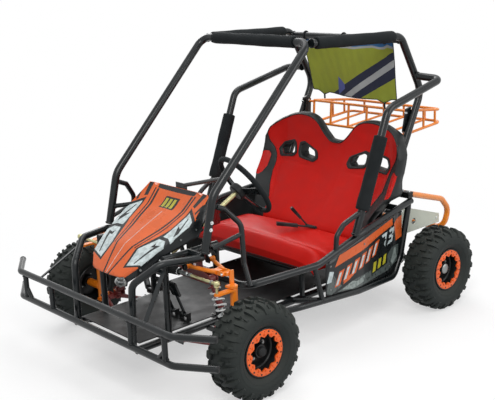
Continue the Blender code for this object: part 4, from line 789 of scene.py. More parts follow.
def panel_rows():
    columns = []
    for k in range(19):
        y = 0.47 + 0.445 * k / 18
        top_x, top_z = rail_at(TOP_PATH, y)
        low_x, low_z = rail_at(LOW_PATH, y)
        columns.append([(low_x + (top_x - low_x) * s / 6 + 0.004, y, low_z + 0.0143 + (top_z - low_z - 0.0293) * s / 6)
            for s in range(7)])
    for dy, rise in ((0.955, 0.04), (0.988, 0.12)):
        top_x, top_z = rail_at(TOP_PATH, dy)
        low_z = 0.18 + rise
        columns.append([(0.3905, dy - 0.006, low_z + (top_z - 0.015 - low_z) * s / 6) for s in range(7)])
    return columns


# Plain stripes, wedges and a two-digit number in the places of the print.
panel_prints = [([(520, 318), (546, 362), (700, 392), (900, 428), (905, 398), (800, 378), (690, 350)], 1),
    ([(915, 400), (990, 425), (990, 330), (940, 318), (930, 360)], 1), ([(470, 222), (494, 300), (506, 296), (530, 262),
    (560, 232), (500, 210)], 3), ([(474, 262), (490, 308), (514, 302), (500, 262)], 2),
    ([(530, 212), (640, 240), (740, 246), (800, 230), (905, 300), (960, 300), (955, 230), (880, 205), (640, 200)], 3),
    ([(560, 216), (620, 236), (650, 228), (700, 240), (690, 214), (620, 204)], 5),
    ([(900, 240), (925, 292), (940, 290), (948, 246), (915, 220)], 5), ([(566, 236), (600, 246), (640, 268), (616, 270),
    (576, 254)], 1), ([(748, 222), (872, 240), (872, 288), (748, 270)], 0)]
for k in range(6):
    # A row of slanted bars climbs with the rail, orange behind white.
    y, z = 524 + 46 * k, 240 + 12.5 * k
    panel_prints.append(([(y - 6, z - 6), (y + 24, z), (y + 52, z + 60), (y + 22, z + 54)], 1))
    panel_prints.append(([(y, z), (y + 14, z + 3), (y + 36, z + 50), (y + 22, z + 47)], 2))
for k in range(3):
    y, z = 758 + 38 * k, 230 + 5.5 * k
    panel_prints.append(([(y, z), (y + 22, z + 3.2), (y + 30, z + 44), (y + 8, z + 40.8)], 4))
# Seven-segment strokes of a slanted numeral, in a box 1 wide and 1 high.
DIGIT = {"a": [(0.04, 1.0), (0.96, 1.0), (0.72, 0.78), (0.28, 0.78)], "b": [(0.97, 0.98), (0.97, 0.53), (0.72, 0.57),
    (0.72, 0.8)], "c": [(0.97, 0.47), (0.97, 0.02), (0.72, 0.2), (0.72, 0.43)],
    "d": [(0.96, 0.0), (0.04, 0.0), (0.28, 0.22), (0.72, 0.22)], "g": [(0.22, 0.4), (0.22, 0.6), (0.72, 0.6),
    (0.72, 0.4)]}


def numeral(strokes, y, z, wide, high, way):
    """A digit that starts at y and reads along way. Its foot leans with the rail above."""
    return [([(y + way * (a * wide + b * high * 0.22), z + b * high + way * (a - 0.5) * wide * 0.16)
        for a, b in DIGIT[s]], 2) for s in strokes]


rows = panel_rows()
for word, way, first, second in (("left", 1, (808, 314), (862, 323)), ("right", -1, (918, 328), (864, 318))):
    digits = numeral("abc", *first, 44, 62, way) + numeral("abgcd", *second, 44, 62, way)
    side = rows if way > 0 else [[(-x, y, z) for x, y, z in column] for column in rows]
    printed(f"side_panel_print_{word}", side, panel_prints + digits, (1, 2),
        [FILM_BLACK, FILM_ORANGE, FILM_WHITE, FILM_GREY, FILM_LIME, FILM_PALE], thick=0.0033, ease=0,
        replaces=[f"side_panel_{word}"], slot="panel_black")


# Plate-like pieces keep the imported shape, with their edges rounded off.
def dressed(name, source, material, bevel=0.0012, body="chassis"):
    """A copy of a CAD node, merged and with its flat faces whole, in a finished material."""
    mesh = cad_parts[source].data.copy()
    work = bmesh.new()
    work.from_mesh(mesh)
    bmesh.ops.remove_doubles(work, verts=work.verts, dist=1e-6)
    bmesh.ops.dissolve_limit(work, angle_limit=radians(0.5), verts=work.verts, edges=work.edges)
    work.to_mesh(mesh)
    work.free()
    mesh.materials.clear()
    mesh.materials.append(material)
    return make(name, None, body, sharp=30, bevel=bevel, mesh=mesh, replaces=[source])


dressed("floor_sheet", "floor_pan", PLASTIC, 0.0008)
for name, x in (("throttle_pedal", 0.06), ("brake_pedal", 0.13)):
    body = name.split("_")[0]
    dressed(f"{body}_pedal_steel", name, POWDER_BLACK, 0.001, body)
    foot = Vector((x, 0.01, 0.196))
    top = foot + Vector((0, -0.045, 0.115))
    turned = Matrix.Translation(top) @ Matrix.Rotation(atan2(0.045, 0.115), 4, "X")
    ribs = [placed(block(-0.021, 0.021, 0.0045, 0.0062, z - 0.0015, z + 0.0015), turned)
        for z in (-0.022, -0.011, 0.0, 0.011, 0.022)]
    ribs = paint(BELLOWS, *ribs)
    make(f"{body}_pedal_tread", ribs, body, bevel=0.0004)
dressed("shock_tower", "front_tower", ENAMEL_RED, 0.001)
for side in ("left", "right"):
    dressed(f"upright_casting_{side}", f"upright_{side}", CAST_ORANGE, 0.0012, f"upright_{side}")
dressed("plate_pale", "engine_plate", PLATE_PALE, 0.0008)

# Tyres: a smooth carcass with lugs set round it.
CARCASS = mm([(45, 75.1), (46.2, 79), (47, 85), (50, 91.5), (56, 97.5), (62, 105), (66.8, 115), (69, 126), (68.4, 137),
    (66, 147), (61, 156), (52, 161.5), (38, 165), (20, 166.8), (0, 167.4)])
carcass = CARCASS + [(-a, r) for a, r in reversed(CARCASS[:-1])]
# Small ridges where the side wall meets the rim.
wall_profile = carcass[:3] + [(0.0492, 0.0868), (0.0478, 0.088)] + carcass[3:]


def lug(outline):
    """A block from a flat outline of (across, along the tread) points, from inside the carcass to the crown."""
    taper = 0.0016
    points = []
    cx, cy = (sum(p[i] for p in outline) / len(outline) for i in (0, 1))
    for height, shrink in ((carcass_at, 0.0), (crown, taper)):
        for a, s in outline:
            away = Vector((a - cx, s - cy)).normalized() * shrink
            points.append(polar(a - away.x, height(a - away.x), (s - away.y) / TYRE_R))
    n = len(outline)
    faces = [tuple(range(n))[::-1], tuple(range(n, 2 * n))]
    faces += [(i, (i + 1) % n, n + (i + 1) % n, n + i) for i in range(n)]
    return points, faces


def carcass_at(across):
    across = abs(across)
    for (a, ra), (b, rb) in zip(CARCASS[::-1], CARCASS[-2::-1]):
        if a <= across <= b:
            return ra + (rb - ra) * (across - a) / (b - a) - 0.002
    return 0.145


def crown(across):
    """Height of the lug tops: flat over the middle and rounded at the shoulder."""
    over = max(0.0, abs(across) - 0.04)
    return TYRE_R - 0.0002 - 0.55 * over - 16 * over ** 2


def merged(shapes):
    points, faces = [], []
    for shape in shapes:
        base = len(points)
        points += list(shape[0])
        faces += [tuple(base + i for i in f) for f in shape[1]]
    return points, faces


def shoulder_lug(side, shift):
    """A long swept block from the crown down over the shoulder, in bent slices.
    Each row is a distance across, the height of top and foot, half the width and the sweep."""
    slices = [(0.027, TYRE_R - 0.0003, 0.164, 0.0075, 0.0), (0.043, TYRE_R - 0.0013, 0.161, 0.0085, 0.002),
        (0.056, 0.1705, 0.156, 0.009, 0.0045), (0.064, 0.163, 0.15, 0.0085, 0.0065), (0.07, 0.146, 0.14, 0.007, 0.008)]
    points, faces = [], []
    for a, top, foot, half, sweep in slices:
        inset = 0.004 if a > 0.06 else 0.0
        for r, wide, back in ((foot, half + 0.0012, inset), (top, half, 0.0)):
            for sign in (-1, 1):
                points.append(polar(side * (a - back), r, (shift + sweep + sign * wide) / TYRE_R))
    for a in range(0, 4 * (len(slices) - 1), 4):
        faces += [(a, a + 1, a + 5, a + 4), (a + 2, a + 6, a + 7, a + 3), (a, a + 4, a + 6, a + 2),
            (a + 1, a + 3, a + 7, a + 5)]
    last = 4 * (len(slices) - 1)
    faces += [(0, 2, 3, 1), (last, last + 1, last + 3, last + 2)]
    if side < 0:
        faces = [f[::-1] for f in faces]
    return points, faces


LUGS_ROUND = 19
PITCH = 2 * pi * TYRE_R / LUGS_ROUND


def lug_set():
    """One step of the tread: two swept shoulder blocks, two short ones between them, and the middle blocks."""
    blocks = []
    for side, shift in ((1, 0.0), (-1, PITCH / 2)):
        blocks.append(shoulder_lug(side, shift))
        for turn, outline in ((0.5, ((0.046, -0.0055), (0.06, -0.0045), (0.06, 0.006), (0.046, 0.005))),
                (0.42, ((0.006, -0.006), (0.02, -0.0085), (0.034, -0.006), (0.034, 0.006), (0.02, 0.004),
                (0.006, 0.0062)))):
            blocks.append(lug([(side * a, shift + PITCH * turn + s) for a, s in outline]))
    blocks.append(lug(mm([(-4.5, -8), (4.5, -8), (5.5, 6), (-5.5, 6)])))
    return merged(blocks)


def on_side(shape, side, centre):
    """A shape of the left wheel at the origin, brought to its side and place."""
    points = [Vector((side * p[0], p[1], p[2])) + centre for p in shape[0]]
    return points, [f if side > 0 else f[::-1] for f in shape[1]]


def wheel(end, word, side, centre, body):
    """A tyre with its lugs, and its rim."""
    def turned(profile, steps):
        return lathe([(side * a, r) for a, r in profile], centre, steps)

    ridges = [[(row - 0.002, r - 0.0006), (row + 0.0006, r - 0.0003), (row + 0.0006, r + 0.0003),
        (row - 0.002, r + 0.0008)] for row, r in ((0.0655, 0.112), (0.0688, 0.129))]
    wall = paint(RUBBER, *[turned(profile, 96) for profile in (wall_profile, *ridges)])
    make(f"{end}_tyre_carcass_{word}", wall, body, sharp=50, replaces=[f"{end}_tyre_{word}"], slot="tyre_rubber")
    grown(on_side(lug_set(), side, centre), ROUND_TREE, f"{end}_tyre_lugs_{word}", body, sharp=30, Copies=LUGS_ROUND,
        Centre=(centre.x, centre.y + FRONT_AXLE_Y, centre.z), Finish=RUBBER)
    # Rim: rolled lips, a dished centre and a hub. The hub cap is made later, with the bead ring.
    barrel = mm([(-12.5, 12.8), (-12.5, 23.5), (10.5, 27.5), (11, 40), (5, 50), (6, 62), (11.2, 65.5), (-53.5, 68.5),
        (-55.8, 70), (-56, 81), (-54.5, 82.6), (-52.4, 81.2), (-51.8, 75.5), (-50, 74.2), (44.5, 74.2), (46.2, 75.2),
        (46.6, 81), (48.2, 82.6), (49.8, 81.2), (49.8, 70), (47, 68.4), (19, 66.8), (15, 63), (14, 50), (17.6, 40),
        (18, 28.5), (33.5, 23.6), (34, 22.5), (34, 12.8)])
    make(f"{end}_rim_{word}_painted", paint(RIM_PAINT, turned(barrel, 72)), body, sharp=40,
        replaces=[f"{end}_rim_{word}"], slot="rim_black")


WHEELS = [(end, word, side, Vector((side * x, y, TYRE_R)), f"front_wheel_{word}" if end == "front" else "rear_wheels")
    for side, word in ((1, "left"), (-1, "right")) for end, x, y in (("front", FRONT_X, 0),
    ("rear", REAR_X, WHEELBASE))]
for one in WHEELS:
    wheel(*one)

# Bead rings: lobes that run inwards with one bolt in each, and a row of dark holes nearer the edge.
RING_LOW, RING_HIGH, RING_R, LOBES = 0.0505, 0.0562, 0.0848, 12


def ring_sector():
    """One twelfth of the ring, with its scalloped inner edge and rounded rim."""
    steps = 10
    angles = [2 * pi / LOBES * (k / steps - 0.5) for k in range(steps + 1)]
    scallop = [0.069 - 0.0115 * (0.5 + 0.5 * cos(2 * pi * k / steps + pi)) ** 0.7 for k in range(steps + 1)]
    rim = [RING_R] * (steps + 1)
    eased_rim = [RING_R - RING_EASE] * (steps + 1)
    levels = ((RING_LOW, scallop), (RING_HIGH, scallop), (RING_HIGH, eased_rim), (RING_HIGH - RING_EASE, rim),
        (RING_LOW, rim))
    points, faces = skin([[polar(level, r, angle) for r, angle in zip(radii, angles)] for level, radii in levels])
    last = (len(levels) - 1) * (steps + 1)
    return points, faces + [(last + k, last + k + 1, k + 1, k) for k in range(steps)]


RING_EASE = 0.0018
# A black band round the outer edge of the ring, in the rim's paint: partly the rolled lip of the rim, partly painted
# shade over the outer edge of the orange ring.
LIP_SHADE_BAND = [(RING_LOW, RING_R - 0.001), (RING_LOW, 0.0888), (RING_HIGH - 0.0022, 0.0892), (RING_HIGH - 0.001, 0.088),
    (RING_HIGH - 0.0008, 0.0862), (RING_HIGH - 0.002, RING_R - 0.001)]
# Each end has its own hub cap.
HUBS = {"front": (mm([(30, 0), (30, 18.5), (42, 18), (46.5, 15.5), (49, 10), (49.8, 0)]), BELLOWS),
    "rear": (mm([(29, 0), (29, 22), (39, 21.5), (43, 16), (44, 0)]), STEEL)}
for end, word, side, centre, body in sorted(WHEELS):
    grown(on_side(ring_sector(), side, centre), ROUND_TREE, f"{end}_ring_{word}_lobed", body, Copies=LOBES, sharp=40,
        replaces=[f"{end}_ring_{word}"], Centre=(centre.x, centre.y + FRONT_AXLE_Y, centre.z), Finish=RING_ORANGE)
    out = (side, 0, 0)
    turns = [2 * pi * k / LOBES for k in range(LOBES)]
    heads = [(centre + polar(side * 0.0564, 0.0665, angle), out) for angle in turns]
    caps = []
    for angle in turns:
        # A wide dark hole between the bolts and a narrow one beyond each bolt.
        for turn, r, wide in ((angle + pi / LOBES, 0.0775, 0.0038), (angle, 0.0785, 0.0017)):
            caps.append(lathe([(-0.001, 0), (-0.001, wide), (0.0003, wide), (0.0004, wide * 0.8), (0.0004, 0)], centre
                + polar(side * 0.056, r, turn), 14, out))
    caps += [lathe(mm([(-1, 0), (-1, 4.6), (-0.1, 4.6), (0.2, 4.2), (0.2, 0)]), spot, 18, way) for spot, way in heads]
    # The black band round the ring: rolled lip and painted shade.
    caps.append(lathe([(side * a, r) for a, r in LIP_SHADE_BAND], centre, 72))
    bolt_set(f"{end}_ring_bolts_{word}", heads, 0.0033, RING_ORANGE, body)
    hub, hub_finish = HUBS[end]
    make(f"{end}_hub_cap_{word}", paint(RIM_PAINT, *caps) + paint(hub_finish,
        lathe([(side * a, r) for a, r in hub], centre, 32)), body, sharp=40)
    nuts = [(centre + polar(side * 0.0165, 0.033, 2 * pi * (k + 0.5) / 4), out) for k in range(4)]
    bolt_set(f"{end}_wheel_nuts_{word}", nuts, 0.0062, STEEL, body)

# Seat back: one shell for two, with a rolled edge, black wings and back, a red face and four framed slots.
SEAT_TOP = mm([(0, 688), (35, 692), (75, 728), (110, 768), (150, 790), (205, 797), (255, 791), (300, 776), (345, 753),
    (380, 720), (402, 665)])
SEAT_BACK = mm([(300, 786), (345, 792), (400, 832), (470, 888), (540, 940), (600, 972), (660, 990), (730, 996),
    (800, 997)])
SEAT_LOW_Z, POST_Y, POST_Z, SEAT_T = 0.305, 0.9685, 0.4692, 0.044
POST_LEAN = (KINK[1] - POST_Y) / (KINK[2] - POST_Z)


def between(table, value):
    """Smooth value from a table of pairs."""
    for i in range(len(table) - 1):
        (a, fa), (b, fb) = table[i], table[i + 1]
        if value <= b:
            t = max(0.0, (value - a) / (b - a))
            before = table[i - 1] if i else (2 * a - b, 2 * fa - fb)
            after = table[i + 2] if i + 2 < len(table) else (2 * b - a, 2 * fb - fa)
            ma = (fb - before[1]) / (b - before[0]) * (b - a)
            mb = (after[1] - fa) / (after[0] - a) * (b - a)
            return ((2 * t ** 3 - 3 * t * t + 1) * fa + (t ** 3 - 2 * t * t + t) * ma + (3 * t * t - 2 * t ** 3) * fb
                + (t ** 3 - t * t) * mb)
    return table[-1][1]


def ramp(value, low, high):
    return min(1.0, max(0.0, (value - low) / (high - low)))


def seat_top(x):
    x = abs(x)
    if x < 0.035:
        return 0.6885 + 0.0035 * (x / 0.035) ** 2
    return between(SEAT_TOP[1:], x) - 0.001


def seat_face(x, z):
    """The front of the seat back as (x, y, z) for a flat place x, z."""
    side = abs(x)
    wing = ramp(side, 0.3, 0.402)
    forward = 0.062 * wing ** 1.5 * ramp(z, 0.33, 0.46)
    bulge = 0.01 * max(0.0, 1 - ((side - 0.19) / 0.13) ** 2) * sin(pi * ramp(z, 0.33, 0.74))
    width = 0.86 + 0.14 * ramp(z, 0.42, 0.52)
    return Vector((x * width, between(SEAT_BACK, z) + 0.0125 - forward - bulge, z))


def seat_rear(x, z):
    side = abs(x)
    wing = ramp(side, 0.3, 0.402)
    width = 0.86 + 0.14 * ramp(z, 0.42, 0.52)
    rear = between(SEAT_BACK, z) + 0.012 + SEAT_T - 0.001
    if 0.285 < side < 0.365 and z > 0.46:
        rear = min(rear, POST_Y + (z - POST_Z) * POST_LEAN - 0.0186)
    if side > 0.36:
        rear = max(rear - 0.03 * wing, 0.985 if z > 0.5 else 0)
    return Vector((x * width * 0.992, rear, z))


SLOT_SHAPES = mm([[(326, 619), (307, 648), (251, 663), (236, 651), (224, 613), (237, 598), (312, 589)],
    [(203, 615), (204, 655), (180, 662), (105, 631), (94, 602), (112, 587), (190, 598)]])


def shrunk(outline, share):
    cx = sum(p[0] for p in outline) / len(outline)
    cz = sum(p[1] for p in outline) / len(outline)
    return [(cx + (x - cx) * share, cz + (z - cz) * share) for x, z in outline]


RED_HALF = mm([(345, 743), (378, 718), (388, 690), (378, 655), (352, 622), (338, 590), (332, 555), (332, 515),
    (335, 470), (330, 420), (322, 370), (316, 309)])
SLOTS = [shrunk(shape, 1.16) for shape in SLOT_SHAPES]
PATCH = mm([(362, 590), (372, 606), (390, 608), (402, 598), (402, 510), (388, 506), (372, 516), (362, 540)])
red_top = [(x, seat_top(x) - 0.009) for x in [-0.345 + 0.015 * k for k in range(47)]]
red_outline = red_top + RED_HALF + [(-x, z) for x, z in reversed(RED_HALF)]


def seat_shell():
    """Front and back faces over one flat grid, with the edge rolled over and the slots cut through."""
    cols, rows = 134, 76
    grid = [-0.402 + 0.804 * c / cols for c in range(cols + 1)]
    work = sheet_of([[(x, 0, SEAT_LOW_Z + (seat_top(x) - 0.001 - SEAT_LOW_Z) * r / rows) for x in grid]
        for r in range(rows + 1)])
    for face in work.faces:
        face.material_index = 1
    cut_in(work, red_outline, 0, (0, 2))
    for flip in (False, True):
        patch = flipped(PATCH) if flip else PATCH
        cut_in(work, patch, 0, (0, 2))
        for slot in SLOTS:
            opening = shrunk(slot, 0.72)
            cut_in(work, flipped(opening) if flip else opening, 2, (0, 2))
    holes = [f for f in work.faces if f.material_index == 2]
    bmesh.ops.delete(work, geom=holes, context="FACES")
    bmesh.ops.remove_doubles(work, verts=work.verts, dist=2e-5)
    moves = {}
    for v in work.verts:
        x, z = v.co.x, v.co.z
        # Distance to the outline of the shell rolls the edge back.
        away = min(0.402 - abs(x), seat_top(x) - z, (z - SEAT_LOW_Z) + 0.002)
        away = max(0.0, away)
        roll = 0.014 * (1 - (1 - (1 - min(1.0, away / 0.014)) ** 2) ** 0.5) if away < 0.014 else 0.0
        crease = 0.0
        for slot in SLOTS:
            for flip in (1, -1):
                cx = flip * sum(p[0] for p in slot) / len(slot)
                cz = sum(p[1] for p in slot) / len(slot)
                crease += 0.003 * exp(-(((x - cx) / 0.06) ** 2 + ((z - cz + 0.055) / 0.006) ** 2))
        wrinkle = 0.0007 * sin(x * 41 + z * 17) * sin(z * 63 - x * 9)
        valley = 0.006 * exp(-(x / 0.028) ** 2) * ramp(z, 0.6, 0.7)
        moves[v] = (roll, crease + wrinkle + valley)
    # The back skin is a copy of the flat grid. The rims of the outline and of the slots join the two.
    rims = [e for e in work.edges if e.is_boundary]
    twin = bmesh.ops.duplicate(work, geom=list(work.verts) + list(work.faces))
    partner = {old: new for old, new in twin["vert_map"].items() if isinstance(old, bmesh.types.BMVert)
        and old in moves}
    for face in twin["geom"]:
        if isinstance(face, bmesh.types.BMFace):
            face.material_index = 1
    for edge in rims:
        one, two = edge.verts
        wall = work.faces.new((one, two, partner[two], partner[one]))
        wall.material_index = 1
    for v, (roll, push) in moves.items():
        x, z = v.co.x, v.co.z
        front, rear = seat_face(x, z), seat_rear(x, z)
        partner[v].co = (rear.x, rear.y - roll * 0.6 + FRONT_AXLE_Y, rear.z - 0.001)
        v.co = (front.x, front.y + roll + push + FRONT_AXLE_Y, front.z)
    seam = {v for e in work.edges for v in e.verts if len({f.material_index for f in e.link_faces}) == 2
        and v in moves}
    for v in seam:
        v.co.y += 0.0016
    bmesh.ops.recalc_face_normals(work, faces=work.faces)
    return mesh_from(work, "seat_shell", [VINYL_RED, VINYL_BLACK])


seat = make("seat_back_vinyl", None, sharp=50, mesh=seat_shell(), replaces=["seat_back"], slot="seat_red")


def dense(outline, step=0.004):
    made = []
    for a, b in zip(outline, outline[1:] + outline[:1]):
        count = max(1, round(((a[0] - b[0]) ** 2 + (a[1] - b[1]) ** 2) ** 0.5 / step))
        made += [(a[0] + (b[0] - a[0]) * k / count, a[1] + (b[1] - a[1]) * k / count) for k in range(count)]
    return made


def eased(outline, rounds=3):
    """Corners of a dense outline rounded off by averaging."""
    for _ in range(rounds):
        n = len(outline)
        outline = [((outline[i - 1][0] + 2 * p[0] + outline[(i + 1) % n][0]) / 4,
            (outline[i - 1][1] + 2 * p[1] + outline[(i + 1) % n][1]) / 4) for i, p in enumerate(outline)]
    return outline


def bezel(slot):
    """A moulded frame round a slot, clipped into the cover, with a collar that runs into the foam."""
    ring = eased(dense(slot), 4)
    rows = []
    for share, push in ((1.0, 0.0015), (0.985, -0.003), (0.9, -0.0048), (0.78, -0.0042), (0.715, -0.001), (0.7, 0.01),
            (0.7, 0.026), (0.735, 0.026), (0.78, 0.004)):
        row = []
        for x, z in shrunk(ring, share):
            spot = seat_face(x, z)
            row.append(Vector((spot.x, spot.y + push, spot.z)))
        rows.append(row)
    return skin(rows + [rows[0]], closed=True)


make("slot_frames", paint(PLASTIC, *[bezel(slot) for slot in SLOTS + [flipped(slot) for slot in SLOTS]]), sharp=40)
welt = [seat_face(x, z) + Vector((0, 0.0005, 0)) for x, z in eased(dense(red_outline, 0.006), 3)]
make("seat_piping", paint(VINYL_BLACK, pipe(welt, 0.0024, 8, loop=True)), sharp=60)
inner = [seat_face(x, z) + Vector((0, -0.0004, 0)) for x, z in eased(dense(shrunk(red_outline, 0.972), 0.006), 3)]
seam_line("seat_stitches", inner, 0.0046, 0.0006, VINYL_RED)


# Cushion: a crowned closed pad with a front roll, a sewn channel across it, and a welt along its lower edge.
def cushion_point(u, v, level):
    """level 0 is the top and 1 the underside."""
    x, y = u * 0.3718, v
    end = max(0.0, (abs(x) - 0.27) / 0.102)
    front = max(0.0, (0.52 - y) / 0.058)
    rear = max(0.0, (y - 0.735) / 0.044)
    z = 0.3515 + 0.01 * (1 - (x / 0.372) ** 2) + 0.022 * exp(-((y - 0.505) / 0.035) ** 2)
    z += -0.007 * exp(-((y - 0.565) / 0.008) ** 2) - 0.03 * end ** 3
    z -= 0.034 * front ** 2.4 + 0.022 * rear ** 2.4
    z += 0.0006 * sin(x * 37 + y * 23) * sin(y * 71)
    low = 0.2872 + 0.012 * end ** 3 + 0.01 * front ** 2.4
    return Vector((x, y, z if level == 0 else min(low, z - 0.012)))


us = [sin(pi / 2 * k / 34) for k in range(-34, 35)]
vs = [0.4625 + 0.3162 * (0.5 - 0.5 * cos(pi * k / 52)) for k in range(53)]
top = [[cushion_point(u, v, 0) for u in us] for v in vs]
low = [[cushion_point(u, v, 1) for u in us] for v in vs]
points, faces = skin(top)
count = len(points)
low_points, low_faces = skin(low)
faces = faces + [tuple(count + i for i in f[::-1]) for f in low_faces]
points = points + low_points
cols = len(us)
rim = list(range(cols)) + [r * cols + cols - 1 for r in range(1, len(vs))]
rim += [(len(vs) - 1) * cols + c for c in range(cols - 2, -1, -1)] + [r * cols for r in range(len(vs) - 2, 0, -1)]
faces += [(a, b, count + b, count + a) for a, b in zip(rim, rim[1:] + rim[:1])]
cushion = make("seat_cushion_vinyl", paint(VINYL_RED, (points, faces)), sharp=75, replaces=["seat_cushion"],
    slot="seat_red")
soft = cushion.modifiers.new("soft", "SUBSURF")
soft.levels = soft.render_levels = 1
edge = [cushion_point(sin(pi / 2 * k / 30), 0.4625, 1) + Vector((0, -0.0006, 0.004)) for k in range(-29, 30)]
make("cushion_welt", paint(VINYL_BLACK, pipe(edge, 0.0022, 8)), sharp=60)
seam = [cushion_point(sin(pi / 2 * k / 40), 0.565, 0) + Vector((0, 0, 0.0008)) for k in range(-37, 38)]
seam_line("cushion_stitches", seam, 0.0046, 0.0007, VINYL_BLACK)

# Belt stalks with their buckle heads and release buttons.
dressed("belt_stalk_webbing", "belt_stalks", NYLON, 0.0014)
heads = []
for x, tip in mm(((70, (30, 690, 452)), (110, (20, 610, 398)))):
    foot, tip = Vector((x, 0.745, 0.3679)), Vector(tip)
    way = (tip - foot).normalized()
    heads += paint(PLASTIC, strap(tip - way * 0.03, tip + way * 0.001, 0.0235, 0.0135))
    heads += paint(ENAMEL_RED, strap(tip - way * 0.002, tip + way * 0.0016, 0.013, 0.007))
make("belt_buckle_heads", heads, bevel=0.0014)

# Steering wheel: foam grip, three pressed spokes, hub with a cap, and the shaft down to the rack.
STEER_R = 0.129
wheel_set = Matrix.Translation(WHEEL_AT) @ SHAFT_WAY.to_track_quat("Z", "Y").to_matrix().to_4x4()
steer = paint(FOAM, pipe([(x, y, 0) for x, y in circle(96, STEER_R)], 0, loop=True, section=circle(14, 0.0103)))
half = mm([(10, 17), (40, 14.8), (70, 14), (100, 15.2), (124, 18)])
spoke = [plate([(x, -y) for x, y in half] + half[::-1], "z", -0.0028, 0.0028)]
spoke += [lathe(mm([(2.6, 4.6), (3.6, 6), (2.6, 7.4)]), (reach, 0, 0), 20, (0, 0, 1))
    for reach in (0.052, 0.076, 0.098)]
tilt = Matrix.Translation((0, 0, -0.036)) @ Matrix.Rotation(-0.285, 4, "Y")
for angle in (0, 180, 270):
    turned = Matrix.Rotation(radians(angle), 4, "Z") @ tilt
    steer += paint(POWDER_BLACK, *[placed(shape, turned) for shape in spoke])
hub = mm([(-50, 0), (-50, 30), (-46, 34), (-26, 34), (-20.5, 28), (-18.5, 16), (-18, 0)])
steer += paint(PLASTIC, lathe(hub, (0, 0, 0), 40, (0, 0, 1)))
steer += paint(ZINC, rod((0, 0, 0.036 - (WHEEL_AT - PINION_AT).length), (0, 0, -0.03), 0.0089, 20))
make("steering_wheel_grip", [placed(s, wheel_set) for s in steer], "steering", bevel=0.0008, sharp=40,
    replaces=["steering_wheel"], slot="trim_black")
heads = [(wheel_set @ Vector((0.022 * cos(a), 0.022 * sin(a), -0.0235)), SHAFT_WAY)
    for a in map(radians, (60, 180, 300))]
bolt_set("steering_hub_bolts", heads, 0.0042, STEEL, "steering")

# Steering rack with its corrugated boots and clamps, and the tie rods with ball joints.
TIE_Y, TIE_Z, TIE_IN_X, KINGPIN_X, HOUSE_X = -0.075, 0.412, 0.267, 0.43, 0.165
half = [(HOUSE_X - 0.004, 0.0165), (HOUSE_X, 0.0178), (HOUSE_X + 0.002, 0.019)]
for k in range(7):
    x = HOUSE_X + 0.005 + 0.0075 * k
    half += [(x, 0.0155 - 0.0004 * k), (x + 0.0018, 0.0186 - 0.0006 * k), (x + 0.004, 0.0186 - 0.0006 * k)]
half += [(HOUSE_X + 0.059, 0.014), (HOUSE_X + 0.0596, 0.012), (HOUSE_X + 0.01, 0.0118)]
profile = half + [(-x, r) for x, r in reversed(half)]
RACK_AT = (0, TIE_Y, TIE_Z)
house = paint(BELLOWS, lathe(profile, RACK_AT)) + paint(CAST_ALU, rod((-0.16, TIE_Y, TIE_Z), (0.16, TIE_Y, TIE_Z),
    0.0166, 32))
for x in (-0.1, 0.06):
    house += paint(CAST_ALU, block(x - 0.012, x + 0.012, -0.1143, -0.087, TIE_Z - 0.012, TIE_Z + 0.012))
    house += paint(STEEL, lathe(band(0.01, 0.016, 0.0184), (x, TIE_Y, TIE_Z), 32))
pinion_low = Vector((PINION_AT.x, TIE_Y, TIE_Z)) + Vector((0, 0.009, 0.01))
house += paint(CAST_ALU, rod(pinion_low, PINION_AT + SHAFT_WAY * 0.03, 0.0124, 24, 0.001))
house += paint(CHROME, *[lathe(band(0.0015, r - 0.003, r), (side * x, TIE_Y, TIE_Z), 32) for side in (1, -1)
    for x, r in ((HOUSE_X + 0.0012, 0.0194), (HOUSE_X + 0.058, 0.015))])
make("rack_tube_and_boots", house, bevel=0.0006, sharp=40, replaces=["rack_housing"])
half = [(TIE_IN_X - 0.007, 0.007), (TIE_IN_X - 0.002, 0.0084), (TIE_IN_X + 0.003, 0.0078), (TIE_IN_X + 0.0065, 0.0055),
    (TIE_IN_X + 0.009, 0)]
make("rack_bar", paint(STEEL, lathe([(-x, r) for x, r in reversed(half)] + half, RACK_AT, 32)), "rack", sharp=40,
    replaces=["steering_rack"])
start = TIE_IN_X + 0.0098
ball = mm([(-11, 0), (-11, 8.5), (-8.5, 10.5), (-5.5, 10), (-3, 12.2), (3, 12.5), (8.5, 11), (10.8, 7), (11, 0)])
tie = paint(ZINC, rod((start + 0.016, TIE_Y, TIE_Z), (KINGPIN_X - 0.004, TIE_Y, TIE_Z), 0.0057),
    lathe(ball, (KINGPIN_X, TIE_Y, TIE_Z), 32, (0, 0, 1)))
nut = mm([(0, 0), (0, 7.4), (1, 8.1), (15, 8.1), (16, 7.4), (16, 0)])
tie += paint(STEEL, lathe(nut, (start, TIE_Y, TIE_Z), 6), rod((KINGPIN_X - 0.03, TIE_Y, TIE_Z),
    (KINGPIN_X - 0.023, TIE_Y, TIE_Z), 0.0082, 6))
both("tie_rod_plated", tie, "tie_rod", ["tie_rod"], sharp=40)

# Suspension arms.
ARM_IN_X, ARM_OUT_X, LOW_ARM_Z, UP_ARM_Z, SHOCK_Y = 0.232, 0.395, 0.15, 0.425, 0.04
SHOCK_TOP, SHOCK_LOW = (0.262, 0.362), (0.352, 0.175)


